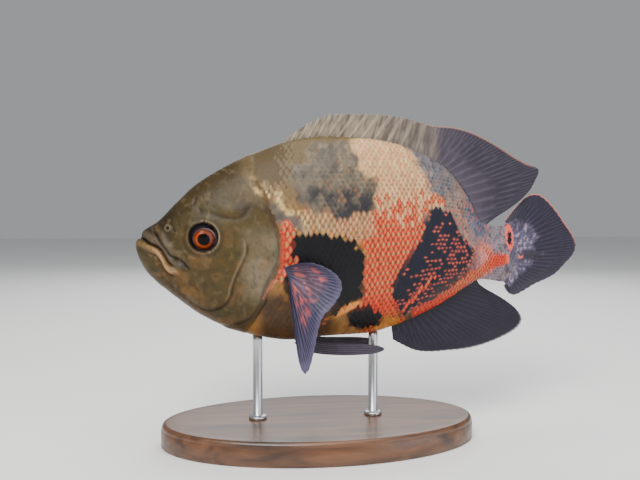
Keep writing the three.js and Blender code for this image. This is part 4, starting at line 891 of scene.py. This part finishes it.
def build_fins(mat, mat_pale):
    obs = []
    # dorsal: spiny part with a saw edge runs into the soft part without a break
    nu = 620
    s_root = np.linspace(90, 226.0, nu)
    root = np.stack([s_root, prof(1, s_root) - 1.6], -1)
    top = curve_pts([(91.5, 188.6), (99, 194.2), (106, 198.2), (113, 201.8), (121, 203.4), (140, 203.9), (160, 203.2), (174, 200.6), (187, 197.8),
                     (200, 197.2), (212, 195), (224, 191), (236, 186), (248, 180.4), (260, 175.8), (269.4, 173.2), (271, 170.4),
                     (268, 164.8), (263, 157.8), (254, 150.6), (244, 144.8), (235, 140.2), (226.5, 135.4)], 1200)
    # even out: spiny edge gets the share of the root that it stands on
    seg = np.hypot(*np.diff(top, axis=0).T); cum = np.concatenate([[0], np.cumsum(seg)]); cum /= cum[-1]
    k_sp = float(np.interp(187, top[:600, 0], cum[:600])) if True else 0.4
    su = np.linspace(0, 1, nu)
    u_sp = 0.62
    m = np.where(su < u_sp, su / u_sp * k_sp, k_sp + (su - u_sp) / (1 - u_sp) * (1 - k_sp))
    edge = np.stack([np.interp(m, cum, top[:, 0]), np.interp(m, cum, top[:, 1])], -1)
    lean = 10.5 * np.sin(np.pi * np.clip(su / u_sp, 0, 1)) ** 0.8
    r_at = np.where(su < u_sp, 90 + (184 - 90) * su / u_sp - lean, 184 + (226 - 184) * (su - u_sp) / (1 - u_sp))
    root = np.stack([r_at, prof(1, r_at) - 1.6], -1)
    spines = 13
    ph = (su / u_sp * spines) % 1
    saw = np.where(su < u_sp, np.where(ph < 0.30, -2.3 * smooth((0.30 - ph) / 0.26) + 0.7 * np.exp(-(ph / 0.03) ** 2) * 4, np.where(ph > 0.80, 0.8 * smooth((ph - 0.8) / 0.2), 0)) , 0)
    saw = np.where(su < 0.004, 0, saw)
    edge[:, 1] += saw - 0.2 * (su < u_sp)
    ob = fin_sheet("dorsal_fin", root, edge, 34, nu, 46, (2.2, 0.75), colour=dorsal_colour, branch=True, ray_h=0.38, spines=(0.62, 13))
    dress(ob, mat, "fin_web", "dorsal_fin_spiny", "dorsal_fin_soft"); obs.append(ob)
    # anal
    s_r = np.linspace(158, 218.5, 420); root = np.stack([s_r, prof(2, s_r) + 1.4], -1)
    ob = fin_sheet("anal_fin_web", root, [(159, 61.2), (166, 57.4), (174, 53.8), (184, 52.2), (198, 52.2), (214, 53), (230, 55.8), (246, 60.6),
                                      (254, 64.8), (256.8, 69.6), (252.5, 76), (244, 82), (235, 87), (227, 91), (219, 95.6)],
                   19, 420, 50, (2.2, 0.8), colour=anal_colour, edge_wave=0.15)
    dress(ob, mat, "fin_web", "anal_fin"); obs.append(ob)
    # caudal
    root = np.stack([np.full(440, TAIL_ROOT - 0.6), np.linspace(134.6, 95.0, 440)], -1)
    ob = fin_sheet("caudal_fin_web", root, [(243.8, 136.6), (254, 146.4), (264, 153.8), (274, 155.5), (283, 151.4), (292, 144), (301, 134.4), (308, 127),
                                        (311.3, 119.6), (309.6, 113.6), (303, 107), (293, 99.6), (283, 95.6), (272, 92.4), (262, 88.4), (253, 85.8),
                                        (247, 88), (243.8, 93)], 17, 440, 60, (3.0, 0.8), side=lambda U, V: 3.5 * V * V, colour=caudal_colour, edge_wave=0.2)
    dress(ob, mat, "fin_web", "caudal_fin"); obs.append(ob)
    # pectorals
    PR = [(88, 109.5), (89.4, 106), (90.4, 102.5), (91, 99)]
    PE = [(93, 112.6), (103, 113.2), (113, 109.4), (119, 103.6), (119.6, 97), (115, 89), (108.6, 82), (105.6, 72), (103.6, 62),
          (101, 53), (98.4, 50.6), (95.6, 56), (93.6, 68), (92, 80), (90.6, 91)]
    out = lambda U, V: 23.2 + 15.5 * V ** 1.15 * (0.75 + 0.25 * np.sin(np.pi * U))
    ob = fin_sheet("pectoral_left", PR, PE, 13, 300, 60, (1.9, 0.6), side=lambda U, V: -out(U, V), colour=pec_colour, ray_h=0.3, edge_wave=0.2)
    dress(ob, mat_pale, "fin_pale", "pectoral_fin_l"); obs.append(ob)
    a = 0.28
    PE2 = [(89.5 + (x - 89.5) * math.cos(a) - (z - 104) * math.sin(a), 104 + (x - 89.5) * math.sin(a) + (z - 104) * math.cos(a)) for x, z in PE]
    ob = fin_sheet("pectoral_right", PR, PE2, 13, 300, 60, (1.9, 0.6), side=lambda U, V: 23.2 + 13 * V ** 1.15, colour=pec_colour, ray_h=0.3, edge_wave=0.2)
    dress(ob, mat_pale, "fin_pale", "pectoral_fin_r"); obs.append(ob)
    # pelvics: rays run along the blade, so the sheet is laid from its root to its tip
    low = curve_pts([(95, 62.6), (100, 58.2), (110, 55.6), (124, 54.6), (138, 54.8), (146, 55.8), (149.6, 57.4)], 90)
    top = curve_pts([(103, 66), (108, 63.6), (114, 62.4), (124, 61.8), (138, 61.2), (146, 60.2), (149.6, 58.8)], 90)
    for nm, sg, node in (("pelvic_left", -1, "pelvic_fin_l"), ("pelvic_right", 1, "pelvic_fin_r")):
        ob = blade(nm, low, top, 6, lambda L, sg=sg: sg * (9 + 4.5 * L), pelvic_colour)
        dress(ob, mat, "fin_web", node); obs.append(ob)
    return obs

def blade(name, low, top, rays, side, colour):
    n = len(low); m = 49
    L = np.linspace(0, 1, n); W = np.linspace(0, 1, m)
    Lg, Wg = np.meshgrid(L, W, indexing="ij")
    S = low[:, None, 0] * (1 - Wg) + top[:, None, 0] * Wg; Z = low[:, None, 1] * (1 - Wg) + top[:, None, 1] * Wg
    ridge = (0.5 + 0.5 * np.cos(2 * np.pi * Wg * rays)) ** 2
    half = (0.55 - 0.25 * Lg + 0.3 * ridge * (1 - 0.5 * Lg)) * np.sqrt(np.clip(np.minimum(Wg, 1 - Wg) / 0.04, 0, 1)).clip(0.03, 1) * np.sqrt(np.clip((1 - Lg) / 0.01, 0.01, 1))
    Y = side(Lg) + 0.25 * noise(Lg * 6, Wg * 3, 61)
    A = place(S, Y - half, Z).reshape(-1, 3); B = place(S, Y + half, Z).reshape(-1, 3)
    k = n * m
    def strip(a, flip):
        q = np.stack([a[:-1], a[1:], a[1:] + k, a[:-1] + k], -1); return q[:, ::-1] if flip else q
    iu, iv = np.arange(n), np.arange(m)
    F = np.concatenate([grid_faces(n, m), grid_faces(n, m, flip=True, base=k), strip(iu * m + m - 1, False), strip(iu * m, True), strip(iv, False), strip((n - 1) * m + iv, True)])
    C = colour(Wg, Lg, S, Z, ridge)
    return make_mesh(name, np.concatenate([A, B]), F, np.concatenate([C.reshape(-1, 3)] * 2))

# ------------------------------------------------------------------ eyes
def build_eye(side, name, node, mat):
    """A smooth eyeball: black pupil under a slight dome, orange iris ring, dark outer ring, clear gloss over all."""
    n_r, n_a = 110, 96
    th = np.linspace(0, np.pi, n_r); ph = np.linspace(0, 2 * np.pi, n_a, endpoint=False)
    T, Pp = np.meshgrid(th, ph, indexing="ij")
    lat = EYE_R * np.sin(T)          # distance from the optic axis
    front = T < np.pi / 2
    rad = EYE_R - 0.05
    dome = np.where(front, 0.30 * np.exp(-(lat / 4.6) ** 2), 0)
    y = rad * np.cos(T) + dome
    # optic axis turns slightly forward
    fwd = math.radians(6)
    x0 = lat * np.cos(Pp); z0 = lat * np.sin(Pp)
    X = x0 * math.cos(fwd) - y * math.sin(fwd); Yv = x0 * math.sin(fwd) + y * math.cos(fwd)
    V = place(EYE_S + X, side * (EYE_Y + Yv), EYE_Z + z0)
    f = grid_faces(n_r, n_a)
    i = np.arange(n_r - 1)
    w = np.stack([i * n_a + n_a - 1, (i + 1) * n_a + n_a - 1, (i + 1) * n_a, i * n_a], -1)
    F = np.concatenate([f, w])
    if side > 0: F = F[:, ::-1]
    ix, iz = x0 - 1.2, z0 + 1.3           # the iris sits a little back and down in the socket
    r = np.where(front, np.hypot(ix, iz), 20); a = np.arctan2(iz, ix)
    nz = noise(np.cos(a) * 6 + 3, np.sin(a) * 6 + r, 95); rays = noise(a * 12 / np.pi * 3, r * 0.6, 96)
    c = np.broadcast_to(srgb(24, 20, 28), r.shape + (3,))
    pink = smooth((np.cos(a - 0.4) - 0.0) / 0.8)         # rear side of the iris is paler
    iris = mix(np.broadcast_to(srgb(112, 44, 12), r.shape + (3,)), srgb(104, 66, 60), pink * 0.85)
    iris = iris * (1 + 0.30 * rays + 0.20 * nz)[..., None]
    iris = mix(iris, srgb(40, 20, 10), smooth((np.sin(a) - 0.2) / 0.8) * 0.55)      # darker above, in the brow's shade
    c = mix(c, iris, smooth((6.35 - r) / 0.4))
    c = mix(c, srgb(196, 172, 160), bump(r - 6.35, 0.28) * np.clip(0.35 + 0.55 * np.cos(a + 0.5), 0.1, 1))
    c = mix(c, srgb(176, 70, 18), bump(r - 4.3, 0.6) * 0.6 * (1 - 0.5 * pink))
    c = mix(c, srgb(78, 26, 12), bump(r - 5.8, 0.45) * 0.6)
    c = mix(c, srgb(4, 4, 5), smooth((3.6 - r) / 0.35))
    return make_mesh(name, V.reshape(-1, 3), F, np.clip(c, 0, 1).reshape(-1, 3))

# ------------------------------------------------------------------ stand
def build_stand():
    L, W, T, R = 98.0, 49.0, 14.0, 2.6
    n = 220; a = np.linspace(0, 2 * np.pi, n, endpoint=False)
    prof_pts = [(0.0, 0.0), (0.0, 0.6)] + [(0, T - R)]
    rings = [(0.6, 0.0), (0.0, 0.6), (0.0, 4.0), (0.0, T - R - 1.4), (0.5, T - R - 0.7), (0.5, T - R)]
    for k in range(1, 9):
        t = k / 8 * math.pi / 2; rings.append((0.5 + R * (1 - math.cos(t)), T - R + R * math.sin(t)))
    for q in (8, 20, 34, 46): rings.append((q, T))
    V = []
    for inset, z in rings:
        V.append(np.stack([(L - inset) * np.cos(a), (W - min(inset, 48.0)) * np.sin(a), np.full(n, z)], -1))
    m = len(rings)
    V = np.concatenate(V)
    i = np.arange(m - 1)[:, None]; j = np.arange(n)[None]
    F = np.stack([i * n + j, i * n + (j + 1) % n, (i + 1) * n + (j + 1) % n, (i + 1) * n + j], -1).reshape(-1, 4)
    V = np.concatenate([V, [[0, 0, 0], [0, 0, T]]])
    k = np.arange(n)
    cap = np.concatenate([np.stack([np.full(n, m * n), (k + 1) % n, k], -1), np.stack([np.full(n, m * n + 1), (m - 1) * n + k, (m - 1) * n + (k + 1) % n], -1)])
    ob = make_mesh("wood_base", V, [F, cap])
    # wood
    mt = bpy.data.materials.new("walnut"); mt.use_nodes = True; nt = mt.node_tree; b = nt.nodes["Principled BSDF"]
    tc = nt.nodes.new("ShaderNodeTexCoord"); mp = nt.nodes.new("ShaderNodeMapping")
    mp.inputs["Scale"].default_value = (5, 60, 60)
    nt.links.new(tc.outputs["Object"], mp.inputs["Vector"])
    nz = nt.nodes.new("ShaderNodeTexNoise"); nz.inputs["Scale"].default_value = 2.2; nz.inputs["Detail"].default_value = 8; nz.inputs["Distortion"].default_value = 0.6
    nt.links.new(mp.outputs[0], nz.inputs["Vector"])
    wv = nt.nodes.new("ShaderNodeTexNoise"); wv.inputs["Scale"].default_value = 14; wv.inputs["Detail"].default_value = 4
    nt.links.new(mp.outputs[0], wv.inputs["Vector"])
    rp = nt.nodes.new("ShaderNodeValToRGB"); e = rp.color_ramp.elements
    e[0].position = 0.32; e[0].color = (*srgb(52, 32, 20), 1); e[1].position = 0.68; e[1].color = (*srgb(112, 72, 44), 1)
    nt.links.new(nz.outputs["Fac"], rp.inputs["Fac"])
    mxn = nt.nodes.new("ShaderNodeMapRange"); mxn.inputs["To Min"].default_value = 0.75; mxn.inputs["To Max"].default_value = 1.2
    nt.links.new(wv.outputs["Fac"], mxn.inputs["Value"])
    sc = nt.nodes.new("ShaderNodeVectorMath"); sc.operation = "SCALE"
    nt.links.new(rp.outputs["Color"], sc.inputs[0]); nt.links.new(mxn.outputs[0], sc.inputs["Scale"])
    nt.links.new(sc.outputs[0], b.inputs["Base Color"])
    b.inputs["Roughness"].default_value = 0.38; b.inputs["Coat Weight"].default_value = 0.3; b.inputs["Coat Roughness"].default_value = 0.25
    bp = nt.nodes.new("ShaderNodeBump"); bp.inputs["Strength"].default_value = 0.15; bp.inputs["Distance"].default_value = 0.0004
    nt.links.new(wv.outputs["Fac"], bp.inputs["Height"]); nt.links.new(bp.outputs["Normal"], b.inputs["Normal"])
    dress(ob, mt, "stand_wood", "stand_base")
    # rods with a small collar where they enter the wood
    ms = bpy.data.materials.new("brushed_rod"); ms.use_nodes = True; nt = ms.node_tree; b = nt.nodes["Principled BSDF"]
    tc = nt.nodes.new("ShaderNodeTexCoord"); mp = nt.nodes.new("ShaderNodeMapping"); mp.inputs["Scale"].default_value = (900, 900, 12)
    nt.links.new(tc.outputs["Object"], mp.inputs["Vector"])
    nz = nt.nodes.new("ShaderNodeTexNoise"); nz.inputs["Scale"].default_value = 1.0; nz.inputs["Detail"].default_value = 3
    nt.links.new(mp.outputs[0], nz.inputs["Vector"])
    mr = nt.nodes.new("ShaderNodeMapRange"); mr.inputs["To Min"].default_value = 0.22; mr.inputs["To Max"].default_value = 0.42
    nt.links.new(nz.outputs["Fac"], mr.inputs["Value"]); nt.links.new(mr.outputs[0], b.inputs["Roughness"])
    b.inputs["Base Color"].default_value = (0.56, 0.56, 0.58, 1); b.inputs["Metallic"].default_value = 1.0
    for name, node, s in (("rod_front", "stand_rod_front", 73.0), ("rod_rear", "stand_rod_rear", 146.0)):
        c = place(np.array(s), np.array(0.0), np.array(0.0)); zt = float(prof(2, np.array(s))) + 0.6
        ring = [(0.05, 6.4), (2.9, 6.4), (3.0, 6.6), (3.0, 14.02), (5.4, 14.02), (5.6, 14.3), (5.6, 15.6), (5.2, 16.1), (3.4, 16.3), (3.0, 16.6), (3.0, zt - 3.0), (2.9, zt), (0.05, zt)]
        k = 48; a = np.linspace(0, 2 * np.pi, k, endpoint=False)
        V = np.concatenate([np.stack([c[0] + r * np.cos(a), c[1] + r * np.sin(a), np.full(k, z)], -1) for r, z in ring])
        i = np.arange(len(ring) - 1)[:, None]; j = np.arange(k)[None]
        F = np.stack([i * k + j, i * k + (j + 1) % k, (i + 1) * k + (j + 1) % k, (i + 1) * k + j], -1).reshape(-1, 4)
        ob = make_mesh(name, V, F); dress(ob, ms, "stand_metal", node)

# ------------------------------------------------------------------ build all
m_skin = material("oscar_skin", rough=0.44, coat=0.03, coat_rough=0.3, spec=0.15, mottling=0.10, mott_scale=420,
                  bumps=((900, 0.25, 0.0004), (2600, 0.18, 0.0002)))
m_scale = material("oscar_scales", rough=0.46, coat=0.05, coat_rough=0.3, spec=0.22, mottling=0.10, mott_scale=900, bumps=((2400, 0.2, 0.0002),))
m_fin = material("fin_web_mat", rough=0.50, spec=0.26, mottling=0.14, mott_scale=260, bumps=((1500, 0.2, 0.0002),))
m_pale = material("fin_pale_mat", rough=0.50, spec=0.26, mottling=0.12, mott_scale=260, bumps=((1500, 0.2, 0.0002),))
m_eye = material("eye_mat", rough=0.4, coat=0.14, coat_rough=0.03, spec=0.04, mottling=0.08, mott_scale=1500)

skin = build_skin()
dress(skin, m_skin, "body_skin", "head", "upper_jaw", "lower_jaw", "gill_cover_l", "gill_cover_r", "trunk_front", "trunk_rear", "tail_stem")
for sd in (-1, 1):
    dress(build_scales(sd), m_scale, "body_skin")
build_fins(m_fin, m_pale)
dress(build_eye(-1, "eyeball_left", "eye_l", m_eye), m_eye, "eye", "eye_l")
dress(build_eye(1, "eyeball_right", "eye_r", m_eye), m_eye, "eye", "eye_r")
build_stand()

# ------------------------------------------------------------------ stage: pale floor, soft studio light
fl = make_mesh("floor", [[-4000, -4000, -0.05], [4000, -4000, -0.05], [4000, 4000, -0.05], [-4000, 4000, -0.05]], np.array([[0, 1, 2, 3]]), smooth_shade=False)
mf = bpy.data.materials.new("floor_mat"); mf.use_nodes = True
mf.node_tree.nodes["Principled BSDF"].inputs["Base Color"].default_value = (0.84, 0.84, 0.83, 1)
mf.node_tree.nodes["Principled BSDF"].inputs["Roughness"].default_value = 0.8
fl.data.materials.append(mf)
world = bpy.data.worlds.new("studio"); bpy.context.scene.world = world; world.use_nodes = True
world.node_tree.nodes["Background"].inputs[0].default_value = (0.80, 0.83, 0.86, 1)
world.node_tree.nodes["Background"].inputs[1].default_value = 0.42
def area(name, loc, size, power, colour=(1, 1, 1)):
    d = bpy.data.lights.new(name, "AREA"); d.shape = "RECTANGLE"; d.size, d.size_y = size; d.energy = power; d.color = colour
    o = bpy.data.objects.new(name, d); bpy.context.scene.collection.objects.link(o)
    o.location = loc
    o.rotation_euler = (Vector((0, 0, 0.12)) - Vector(loc)).to_track_quat("-Z", "Y").to_euler()
area("key", (-0.35, -0.80, 0.95), (0.7, 0.6), 19, (1.0, 0.97, 0.92))
area("top", (0.15, 0.0, 1.2), (1.2, 0.8), 10)
area("fill", (0.9, -0.8, 0.35), (0.8, 0.8), 5, (0.9, 0.95, 1.0))
area("rim", (0.2, 1.0, 0.7), (1.0, 0.6), 6)
